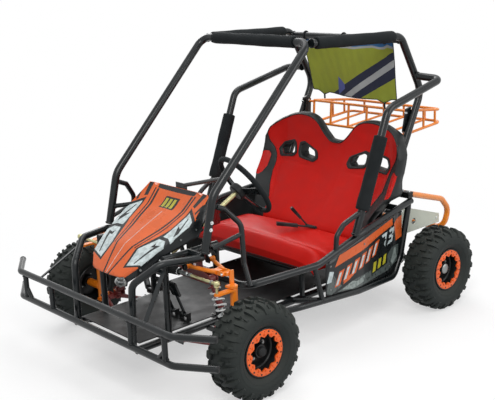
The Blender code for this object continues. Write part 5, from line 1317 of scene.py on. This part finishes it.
def arm(z, legs, radius, material):
    made = []
    for y, (near, far) in legs:
        sign = -1 if y < 0 else 1
        ear = [(ARM_OUT_X - 0.06, z - 0.0075), (ARM_OUT_X + 0.001, z - 0.0085), (ARM_OUT_X + 0.006, z - 0.0062),
            (ARM_OUT_X + 0.0088, z), (ARM_OUT_X + 0.006, z + 0.0062), (ARM_OUT_X + 0.001, z + 0.0085),
            (ARM_OUT_X - 0.06, z + 0.0075)]
        made += paint(material, rod((ARM_IN_X, near, z), (ARM_IN_X, far, z), 0.0094, 24, 0.0012),
            pipe([(ARM_IN_X, y, z), (ARM_OUT_X - 0.03, sign * 0.018, z)], radius),
            plate(ear, "y", *sorted((sign * 0.014, sign * 0.0195))))
        made += paint(STEEL, rod((ARM_IN_X, near - 0.0012, z), (ARM_IN_X, far + 0.0012, z), 0.0062, 20))
        made += paint(CHROME, rod((ARM_OUT_X, sign * 0.0193, z), (ARM_OUT_X, sign * 0.0228, z), 0.0056, 6))
    bridge = block(ARM_OUT_X - 0.062, ARM_OUT_X - 0.03, -0.0192, 0.0192, z - 0.004, z + 0.004)
    return made + paint(material, bridge)


x, high = SHOCK_LOW
ear = [(x - 0.014, LOW_ARM_Z), (x + 0.014, LOW_ARM_Z), (x + 0.0115, high + 0.002), (x + 0.008, high + 0.0082),
    (x, high + 0.0092), (x - 0.008, high + 0.0082), (x - 0.0115, high + 0.002)]
low_arm = arm(LOW_ARM_Z, mm(((-75, (-88.8, -61.2)), (73, (61.2, 88.8)))), 0.0083, ENAMEL_RED)
low_arm += paint(ENAMEL_RED, block(0.326, 0.376, 0.01, 0.061, LOW_ARM_Z - 0.0075, LOW_ARM_Z - 0.001),
    *[plate(ear, "y", y, y + 0.005) for y in (SHOCK_Y - 0.0205, SHOCK_Y + 0.0155)])
low_arm += paint(CHROME, rod((x, SHOCK_Y - 0.0225, high), (x, SHOCK_Y + 0.0225, high), 0.0059, 20))
both("lower_arm_welded", low_arm, "lower_arm", ["lower_arm"], bevel=0.0007)
up_arm = arm(UP_ARM_Z, mm(((-39.5, (-50.8, -29.2)), (70, (56.2, 83.8)))), 0.0076, CAST_ORANGE)
both("upper_arm_welded", up_arm, "upper_arm", ["upper_arm"], bevel=0.0007)

# Knuckles with their steering legs.
leg = mm([(-13.5, 0), (-11.5, 10), (-6, 12.8), (6, 12.8), (11.5, 10), (13.5, 0), (11.5, -75), (7, -84), (0, -86),
    (-7, -84), (-11.5, -75)])
knuckle = paint(CAST_ORANGE, rod((KINGPIN_X, 0, 0.1265), (KINGPIN_X, 0, 0.3795), 0.0117, 28, 0.0012),
    rod((KINGPIN_X + 0.001, 0, TYRE_R), (FRONT_X - 0.0145, 0, TYRE_R), 0.0163, 28, 0.0015),
    plate(mm([(-10.5, 300), (16.5, 318), (16.5, 375), (-10.5, 375)]), "x", KINGPIN_X - 0.004, KINGPIN_X + 0.004),
    plate([(KINGPIN_X + a, b) for a, b in leg], "z", 0.369, 0.377))
knuckle += paint(STEEL, rod((KINGPIN_X + 0.03, 0, TYRE_R), (FRONT_X + 0.04, 0, TYRE_R), 0.0099))
knuckle += paint(CHROME, rod((FRONT_X + 0.035, 0, TYRE_R), (FRONT_X + 0.043, 0, TYRE_R), 0.016, 6, 0.001),
    rod((KINGPIN_X, TIE_Y, 0.364), (KINGPIN_X, TIE_Y, 0.369), 0.0068, 6))
knuckle += paint(ZINC, rod((KINGPIN_X, TIE_Y, 0.37), (KINGPIN_X, TIE_Y, TIE_Z - 0.0116), 0.0048, 20))
both("knuckle_casting", knuckle, "knuckle", ["knuckle"], bevel=0.0009)

# Shock absorbers, with the coil wound round them.
TOP = Vector((SHOCK_TOP[0], SHOCK_Y, SHOCK_TOP[1]))
LOW = Vector((SHOCK_LOW[0], SHOCK_Y, SHOCK_LOW[1]))
SHOCK_WAY, SHOCK_LEN = (LOW - TOP).normalized(), (LOW - TOP).length
COIL_R, WIRE_R, SEAT_TOP_T, SEAT_LOW_T, COILS = 0.0205, 0.0034, 0.034, 0.171, 6


def eye(centre):
    return paint(ENAMEL_RED, lathe(mm([(-13.8, 7.3), (-13.8, 12.5), (-12.8, 13.4), (12.8, 13.4), (13.8, 12.5),
        (13.8, 7.3)]), centre, 28, (0, 1, 0)))


body = [(0.0105, 0), (0.0105, 0.0098), (SEAT_TOP_T - 0.008, 0.0118), (SEAT_TOP_T - 0.0065, 0.023),
    (SEAT_TOP_T - 0.005, 0.0252), (SEAT_TOP_T - 0.0006, 0.0253), (SEAT_TOP_T, 0.024), (SEAT_TOP_T, 0.0124),
    (0.105, 0.0121), (0.112, 0.0112), (0.112, 0.0082), (0.04, 0.0082), (0.04, 0)]
both("shock_upper", paint(ENAMEL_RED, lathe(body, TOP, 36, SHOCK_WAY)) + eye(TOP), "shock_body", ["shock_body"],
    sharp=40)
stem = [(0.068, 0), (0.068, 0.0061), (0.145, 0.0061), (0.145, 0.0103), (SEAT_LOW_T, 0.0114), (SEAT_LOW_T, 0.0242),
    (SEAT_LOW_T + 0.0006, 0.0253), (SEAT_LOW_T + 0.005, 0.0252), (SEAT_LOW_T + 0.0065, 0.023),
    (SEAT_LOW_T + 0.008, 0.01), (SHOCK_LEN - 0.01, 0.009), (SHOCK_LEN - 0.01, 0)]
both("shock_lower", paint(STEEL, lathe(stem, TOP, 36, SHOCK_WAY)) + eye(LOW), "shock_rod", ["shock_rod"], sharp=40)


def coil():
    across = SHOCK_WAY.cross(Vector((0, 1, 0))).normalized()
    up = across.cross(SHOCK_WAY).normalized()
    first, last = SEAT_TOP_T + WIRE_R + 0.0004, SEAT_LOW_T - WIRE_R - 0.0004
    steps = COILS * 28
    path = []
    for k in range(steps + 1):
        angle = 2 * pi * k / 28
        centre = TOP + SHOCK_WAY * (first + (last - first) * k / steps)
        path.append(centre + (across * cos(angle) + up * sin(angle)) * COIL_R)
    return path


spring = paint(SPRING_WHITE, pipe(coil(), WIRE_R, 12))
for side, word, shapes in ((1, "left", spring), (-1, "right", [mirrored(s) for s in spring])):
    piece = make(f"coil_spring_{word}", shapes, None, replaces=[f"spring_{word}"], slot="spring_white")
    for t in (SEAT_TOP_T + 0.003, SEAT_LOW_T - 0.003):
        spot = TOP + SHOCK_WAY * t
    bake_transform(piece)

# Rear axle with its sprocket and drilled brake disc.
END = REAR_X + 0.036
axle = [(-END - 0.006, 0), (-END - 0.006, 0.016), (-END - 0.005, 0.017), (-END, 0.017), (-END, 0.0124),
    (-0.248, 0.0124), (-0.248, 0.0192), (-0.247, 0.0199), (-0.231, 0.0199), (-0.23, 0.0192), (-0.23, 0.0124),
    (-0.112, 0.0124), (-0.112, 0.0258), (-0.09, 0.0258), (-0.09, 0.08), (-0.085, 0.08), (-0.085, 0.0124),
    (0.14, 0.0124), (0.14, 0.0258), (0.16, 0.0258), (0.16, 0.079), (0.164, 0.079), (0.164, 0.0124), (0.23, 0.0124),
    (0.23, 0.0192), (0.231, 0.0199), (0.247, 0.0199), (0.248, 0.0192), (0.248, 0.0124), (END, 0.0124), (END, 0.017),
    (END + 0.005, 0.017), (END + 0.006, 0.016), (END + 0.006, 0)]
make("rear_axle_turned", paint(STEEL, lathe(axle, (0, WHEELBASE, TYRE_R), 48)), "rear_wheels", replaces=["rear_axle"])


def round_axle(shape, name, copies, finish, x=0):
    grown(shape, ROUND_TREE, name, "rear_wheels", Copies=copies, Finish=finish,
        Centre=(x, WHEELBASE + FRONT_AXLE_Y, TYRE_R))


tooth = plate(mm([(-3.4, 79), (-1.2, 87.4), (1.2, 87.4), (3.4, 79)]), "x", -0.0896, -0.0854)
round_axle(placed(tooth, Matrix.Translation((0, WHEELBASE, TYRE_R))), "sprocket_teeth", 45, STEEL)
for x in (0.1596, 0.1644):
    dot = rod((x - 0.0002, WHEELBASE, TYRE_R + 0.063), (x + 0.0002, WHEELBASE, TYRE_R + 0.063), 0.0042, 16)
    round_axle(dot, f"disc_holes_{int(x * 10000)}", 18, PLASTIC, x)

# Engine: finned block, ribbed fan shroud with its slots, belt case, intake, muffler with a heat shield.
# It stands on the cradle bars: their height, their radius and a gap.
ENGINE_Z = 0.3008 + 0.0129 + 0.0005
z = ENGINE_Z
belt_case = [(1.088 - 0.0495 * sin(pi * k / 16), z + 0.055 - 0.0495 * cos(pi * k / 16)) for k in range(17)]
belt_case += [(1.19 + 0.0435 * sin(pi * k / 16), z + 0.058 + 0.0435 * cos(pi * k / 16)) for k in range(17)]
lid = shrunk(belt_case, 0.9)
fan = mm([(0, 0), (0, 50), (6, 53.6), (44, 53.6), (50, 49), (52, 42), (50, 40), (50, 0)])
# Crankcase, cylinder with its fins, belt case, fan shroud, cast ribs down the rear face and their cover.
engine = paint(CAST_ALU, block(-0.089, 0.061, 1.037, 1.204, z, z + 0.104),
    block(-0.044, 0.024, 0.968, 1.04, z + 0.027, z + 0.077), *[block(-0.067, 0.047, y, y + 0.0022, z + 0.013, z + 0.091)
    for y in [1.0255 - 0.006 * k for k in range(6)]], plate(belt_case, "x", 0.058, 0.108),
    lathe(fan, (-0.086, 1.105, z + 0.058), 48, (-1, 0, 0)), *[block(x, x + 0.003, 1.203, 1.2074, z + 0.01, z + 0.094)
    for x in [-0.08 + 0.0262 * k for k in range(6)]], block(-0.06, 0.034, 1.203, 1.2062, z + 0.026, z + 0.074))
engine += paint(PLASTIC, plate(lid, "x", 0.1075, 0.1118), block(-0.059, 0.044, 1.061, 1.189, z + 0.1035, z + 0.1596),
    *[block(-0.05, 0.035, y, y + 0.006, z + 0.158, z + 0.16) for y in [1.083 + 0.026 * k for k in range(4)]])
exhaust = curved([(-0.05, 0.985, z + 0.035), (-0.165, 0.985, z + 0.035), (-0.185, 1.14, z + 0.045)], 0.04)
plug = mm([(0, 0), (0, 8.5), (4, 8.5), (5, 6), (5, 0)])
outlet = mm([(0, 0), (0, 30), (3, 28.5), (3.6, 12), (9, 11), (9, 0)])
engine += paint(STEEL, pipe(exhaust, 0.0122), lathe(plug, (-0.012, 1.2055, z + 0.05), 24, (0, 1, 0)),
    lathe(outlet, (-0.19, 1.3098, z + 0.048), 32, (0, 1, 0)))
muffler = mm([(0, 0), (0, 30), (4, 36.2), (10, 36.8), (180, 36.8), (186, 36.2), (190, 30), (190, 0)])
engine += paint(POWDER_BLACK, lathe(muffler, (-0.19, 1.12, z + 0.048), 40, (0, 1, 0)),
    block(-0.165, -0.08, 1.165, 1.185, z + 0.03, z + 0.045))
engine += paint(BELLOWS, pipe([(-0.01, 1.0, z + 0.065), (-0.01, 1.07, z + 0.135)], 0.0138))
make("engine_cast", engine, bevel=0.0022, replaces=["engine"], slot="engine_grey")
covers = [((x, 1.206, z + h), (0, 1, 0)) for x in (-0.055, 0.029) for h in (0.031, 0.069)]
bolt_set("crankcase_bolts", covers, 0.003, STEEL)
fan_slot = rod((-0.1366, 1.105, z + 0.086), (-0.1358, 1.105, z + 0.086), 0.004, 12)
grown(fan_slot, ROUND_TREE, "fan_slots", Copies=16, Finish=PLASTIC, Centre=(0, 1.105 + FRONT_AXLE_Y, z + 0.058))
heads = [((0.1085, 1.135 + (y - 1.135) * 1.06, z + 0.056 + (h - z - 0.056) * 1.06), (1, 0, 0))
    for y, h in [lid[k * 4 % len(lid)] for k in range(9)]]
bolt_set("belt_case_bolts", heads, 0.0034, STEEL)

# Luggage rack of bent wire, with bolted foot plates.
RACK_X = 0.27
TOP_F, TOP_R, LOW_F, LOW_R = mm(((1158, 826), (1412, 797), (1150, 722), (1412, 742)))
wires = []
for (front_end, rear_end), thick in (((TOP_F, TOP_R), RACK_R), ((LOW_F, LOW_R), RACK_R - 0.0001)):
    wires.append((curved(both_ways([(RACK_X, *front_end), (RACK_X, *rear_end)]), 0.034), thick))
    wires.append(([(RACK_X, *front_end), (-RACK_X, *front_end)], thick - 0.0002))
for x in (-0.27, -0.162, -0.054, 0.054, 0.162, 0.27):
    wires.append(([(x, *TOP_F), (x, *LOW_F)], 0.0056))
for x in (-0.18, -0.06, 0.06, 0.18):
    wires.append(([(x, *TOP_R), (x, *LOW_R)], 0.0054))
    wires.append(([(x, *LOW_F), (x, *LOW_R)], 0.0053))
for side in (1, -1):
    for y, z in ((TOP_R[0] - 0.045, 0.802), (1.285, 0.812)):
        low_z = LOW_F[1] + (LOW_R[1] - LOW_F[1]) * (y - LOW_F[0]) / (LOW_R[0] - LOW_F[0])
        wires.append(([(side * RACK_X, y, z), (side * RACK_X, y, low_z)], 0.0054))
    for y, z in ((1.15, 0.822), (1.14, 0.738)):
        wires.append(([(side * RACK_X, y, z), (side * 0.295, y, z)], 0.0051))
rack = tubes(wires, ENAMEL_ORANGE, 14)
foot_plate = mm([(1128, 834), (1160, 834), (1154, 716), (1112, 744)])
rack += pair(paint(POWDER_BLACK, plate(foot_plate, "x", 0.293, 0.299)))
make("luggage_rack_wire", rack, sharp=40, replaces=["luggage_rack"], slot="rack_orange")

# Guard tube round the rear, clamped to the side frames in split blocks.
guard = curved(both_ways(mm([(352, 1045, 497), (332, 1338, 408), (330, 1392, 352), (322, 1370, 262)])),
    [0.05, 0.055, 0.05, 0.05, 0.055, 0.05])
guard_shapes = tubes([(guard, 0.0132)], ENAMEL_ORANGE)
guard_shapes += pair(paint(PLASTIC, *[block(0.3385, 0.3955, 1.0225, 1.0535, low, high)
    for low, high in ((0.4825, 0.4952), (0.496, 0.5083))]))
make("rear_guard_tube", guard_shapes, bevel=0.0016, sharp=40, replaces=["rear_guard"], slot="rack_orange")

# Banner: one hemmed sheet of flag cloth tied under the cross tube, with plain slanting bands of colour.
BANNER_Y = REAR_TUBE[0] + 0.015 * cos(pi / 8) + 0.0003
TIES, TAILS = (1 / 16, 0.5, 15 / 16), (2 / 16, 14 / 16)
# The cut before hanging: widths of its top and low edges, its drop, and the points at the ties and tails.
CUT_TOP, CUT_LOW, CUT_DROP, CUT_LONG = 0.524, 0.488, 0.251, 0.262


def banner(across, down):
    half = 0.262 - 0.02 * down
    z = 1.122 - (0.236 + 0.012 * across) * down - 0.01 * sin(pi * across) * down
    z += 0.022 * max((max(0.0, 1 - abs(across - c) * 12) ** 1.5) for c in TIES) * max(0.0, 1 - down * 4)
    z -= 0.016 * max(max(0.0, 1 - abs(across - c) * 14) for c in TAILS) * max(0.0, down * 6 - 5)
    pull = 0.016 * down * sin(2.2 * pi * across + 0.6)
    fold = 0.0022 * sin(across * 31 + down * 5) * down * (1 - 0.3 * down) + 0.001 * sin(across * 67 - down * 9)
    return Vector((-half + 2 * half * across, BANNER_Y + 0.0012 + 0.034 * down + pull + fold * 0.7, z))


BAND_MARKS = [([(-0.01, 0.0), (1.01, 0.0), (1.01, 0.115), (0.9, 0.135), (0.78, 0.1), (0.64, 0.125), (0.5, 0.165),
    (0.36, 0.12), (0.22, 0.145), (0.08, 0.11), (-0.01, 0.13)], 1), ([(-0.01, 0.0), (1.01, 0.0), (1.01, 0.08),
    (0.9, 0.098), (0.78, 0.064), (0.64, 0.09), (0.5, 0.125), (0.36, 0.082), (0.22, 0.108), (0.08, 0.074),
    (-0.01, 0.092)], 3), ([(0.24, 1.01), (0.985, 0.175), (1.01, 0.175), (1.01, 0.6), (0.62, 1.01)], 2),
    ([(0.4, 1.01), (1.01, 0.275), (1.01, 0.4), (0.5, 1.01)], 1), ([(0.33, 1.01), (0.36, 0.66), (0.44, 0.78),
    (0.44, 0.86)], 4)]
work = sheet_of([[(c / 96, 0, r / 44) for c in range(97)] for r in range(45)])
for outline, index in BAND_MARKS:
    cut_in(work, outline, index, (0, 2))
flag_uv = work.loops.layers.uv.new("cloth")
for face in work.faces:
    for loop in face.loops:
        loop[flag_uv].uv = (loop.vert.co.x * CUT_TOP, loop.vert.co.z * 0.25)
for vert in work.verts:
    spot = banner(vert.co.x, vert.co.z)
    vert.co = (spot.x, spot.y + FRONT_AXLE_Y, spot.z)
bmesh.ops.recalc_face_normals(work, faces=work.faces)
flag = make("banner_cloth", None, sharp=80, mesh=mesh_from(work, "flag", CLOTHS), replaces=["rear_banner"],
    slot="banner_cloth")
wall = flag.modifiers.new("cloth", "SOLIDIFY")
wall.thickness, wall.offset = 0.0009, 0
hem_path = [banner(k / 60, 0) for k in range(61)] + [banner(1, k / 24) for k in range(1, 25)]
hem_path += [banner(1 - k / 60, 1) for k in range(1, 61)] + [banner(0, 1 - k / 24) for k in range(1, 24)]
hem = [p + Vector((0, 0, -0.0015 if 0 < i < 60 else 0)) for i, p in enumerate(hem_path)]
ties = []
for across in TIES:
    spot = banner(across, 0.0)
    turn = [Vector((spot.x, REAR_TUBE[0] + b, REAR_TUBE[1] + a)) for a, b in circle(24, 0.0172)]
    ties.append(pipe(turn, 0, section=mm([(-0.8, -4.5), (-0.8, 4.5), (0.8, 4.5), (0.8, -4.5)]), loop=True))
tails = []
for across, length in ((TAILS[0], 0.02), (TAILS[1], 0.024)):
    spot = banner(across, 1.0)
    tails.append(strap(spot + Vector((0, 0, 0.01)), spot + Vector((0, 0.001, -length)), 0.01, 0.0016))
bind = make("banner_binding", paint(NYLON, pipe(hem, 0.0019, 8, loop=True)), sharp=60)
knots = make("banner_ties", paint(NYLON, *ties), sharp=40)
hang = make("banner_tails", paint(NYLON, *tails), bevel=0.0004)

# Bolts that show on the frame, cage, rack feet, panels and cowl.
heads = []
for side in (1, -1):
    for z, y, x in mm(((590, 13.5, 298.5), (565, 7.5, 298.8))):
        heads.append(((side * (x + CAGE_R - 0.0005), y, z), (side, 0, 0)))
    heads.append(((side * 0.3058, 1.116, 0.826), (side, 0, 0)))
    heads.append(((side * 0.292, 1.146, 0.826), (-side, 0, 0)))
    heads.append(((side * 0.292, 1.13, 0.742), (-side, 0, 0)))
    for x, y in ((0.352, 1.038), (0.384, 1.038)):
        heads.append(((side * x, y, 0.5083), (0, 0, 1)))
    for y, z in mm(((1096, 268), (1130, 268), (1113, 166))):
        heads.append(((side * 0.2745, y, z), (side, 0, 0)))
bolt_set("frame_bolts", heads, 0.0056)
heads = [((0.3102, y, z), (1, 0, 0)) for y, z in mm(((1084, 400), (1330, 318), (1086, 316)))]
bolt_set("plate_bolts", heads, 0.004)
heads = []
for side in (1, -1):
    for row, share in ((1, 0.5), (3, 0.4), (4, 0.5)):
        spot = Vector(COWL[row][3]).lerp(Vector(COWL[row][4]), share)
        heads.append(((side * (spot.x + 0.001), spot.y, spot.z), (side * 0.95, 0.0, 0.3)))
bolt_set("cowl_screws", heads, 0.0034, STEEL)
spots = [rows[k][s] for k in (1, 9, 17) for s in (1, 5)]
heads = [((side * (x + 0.0002), y, z), (side, 0, 0)) for side in (1, -1) for x, y, z in spots]
bolt_set("panel_screws", heads, 0.0032, STEEL)
heads = [((side * (0.172 if y < 0.13 else 0.243), y, 0.1781), (0, 0, 1)) for side in (1, -1)
    for y in (-0.12, 0.0, 0.11, 0.35, 0.6, 0.84)]
bolt_set("floor_screws", heads, 0.0038, STEEL)


# Camera at the angle of the picture, plain studio light and a pale floor.
def look(name, spot, yaw, pitch, roll, lens):
    made = bpy.data.cameras.new(name)
    made.lens, made.sensor_width, made.clip_end = lens, 36.0, 50
    camera = linked(name, made)
    yaw, pitch, roll = radians(yaw), radians(pitch), radians(roll)
    way = Vector((-sin(yaw) * cos(pitch), cos(yaw) * cos(pitch), -sin(pitch)))
    level = way.cross(Vector((0, 0, 1))).normalized()
    above = level.cross(way).normalized()
    right = level * cos(roll) + above * sin(roll)
    up = above * cos(roll) - level * sin(roll)
    turned = Matrix((right, up, -way)).transposed().to_4x4()
    camera.matrix_world = Matrix.Translation(Vector(spot)) @ turned
    return camera


bpy.context.scene.camera = look("three_quarter_view", (2.768, -2.002 + FRONT_AXLE_Y, 1.506), 48.26, 14.78, -2.43, 67.78)


def lamp(name, spot, aim, size, power, colour=(1, 1, 1)):
    made = bpy.data.lights.new(name, "AREA")
    made.shape, made.size, made.energy, made.color = "DISK", size, power, colour
    lit = linked(name, made)
    lit.location = spot
    lit.rotation_euler = (Vector(aim) - Vector(spot)).to_track_quat("-Z", "Y").to_euler()
    return lit


lamp("key_softbox", (2.6, -2.6, 3.4), (0, 0, 0.5), 2.4, 100, (1.0, 0.985, 0.965))
lamp("fill_softbox", (3.4, 1.6, 2.2), (0, 0, 0.5), 2.6, 45)
lamp("top_softbox", (-0.6, 0.4, 4.2), (0, 0, 0.4), 3.0, 62)
lamp("back_softbox", (-3.0, 1.8, 2.6), (0, 0, 0.6), 2.2, 40)

floor = bpy.data.meshes.new("floor")
floor.from_pydata([(-9, -9, 0), (9, -9, 0), (9, 9, 0), (-9, 9, 0)], [], [(0, 1, 2, 3)])
floor_piece = linked("floor", floor)


def seen_rays(tree):
    """1 for what the camera sees, straight, in a reflection or through glass."""
    rays = node(tree, "ShaderNodeLightPath").outputs
    both_kinds = calc(tree, "MAXIMUM", rays["Is Camera Ray"], rays["Is Glossy Ray"])
    return calc(tree, "MAXIMUM", both_kinds, rays["Is Transmission Ray"])


# White studio paper: it takes the shadow near the object and runs out to plain white.
paper = bpy.data.materials.new("matt_studio_paper")
paper.use_nodes = True
paper_tree = paper.node_tree
paper_tree.nodes.clear()
spot = node(paper_tree, "ShaderNodeTexCoord").outputs["Object"]
far = node(paper_tree, "ShaderNodeVectorMath", {0: spot}, operation="LENGTH").outputs["Value"]
fade = node(paper_tree, "ShaderNodeMapRange", {"Value": far, "From Min": 1.1, "From Max": 2.4},
    interpolation_type="SMOOTHSTEP").outputs["Result"]
matt = node(paper_tree, "ShaderNodeBsdfDiffuse", {"Color": (0.5, 0.5, 0.5, 1)}).outputs[0]
glow = node(paper_tree, "ShaderNodeEmission", {"Color": (1, 1, 1, 1), "Strength": 0.52}).outputs[0]
white = node(paper_tree, "ShaderNodeEmission", {"Color": (1, 1, 1, 1), "Strength": 1.0}).outputs[0]
near = node(paper_tree, "ShaderNodeAddShader", {0: matt, 1: glow}).outputs[0]
shown = node(paper_tree, "ShaderNodeMixShader", {0: fade, 1: near, 2: white}).outputs[0]
mixed = node(paper_tree, "ShaderNodeMixShader", {0: seen_rays(paper_tree), 1: matt, 2: shown}).outputs[0]
node(paper_tree, "ShaderNodeOutputMaterial", {"Surface": mixed})
floor.materials.append(paper)

sky = bpy.data.worlds.new("plain_studio")
sky.use_nodes = True
bpy.context.scene.world = sky
sky_tree = sky.node_tree
sky_tree.nodes.clear()
dim = node(sky_tree, "ShaderNodeBackground", {"Color": (0.8, 0.82, 0.85, 1), "Strength": 0.4}).outputs[0]
pale = node(sky_tree, "ShaderNodeBackground", {"Color": (1, 1, 1, 1), "Strength": 1.0}).outputs[0]
mixed = node(sky_tree, "ShaderNodeMixShader", {0: seen_rays(sky_tree), 1: dim, 2: pale}).outputs[0]
node(sky_tree, "ShaderNodeOutputWorld", {"Surface": mixed})
bpy.context.scene.view_settings.view_transform = "Standard"
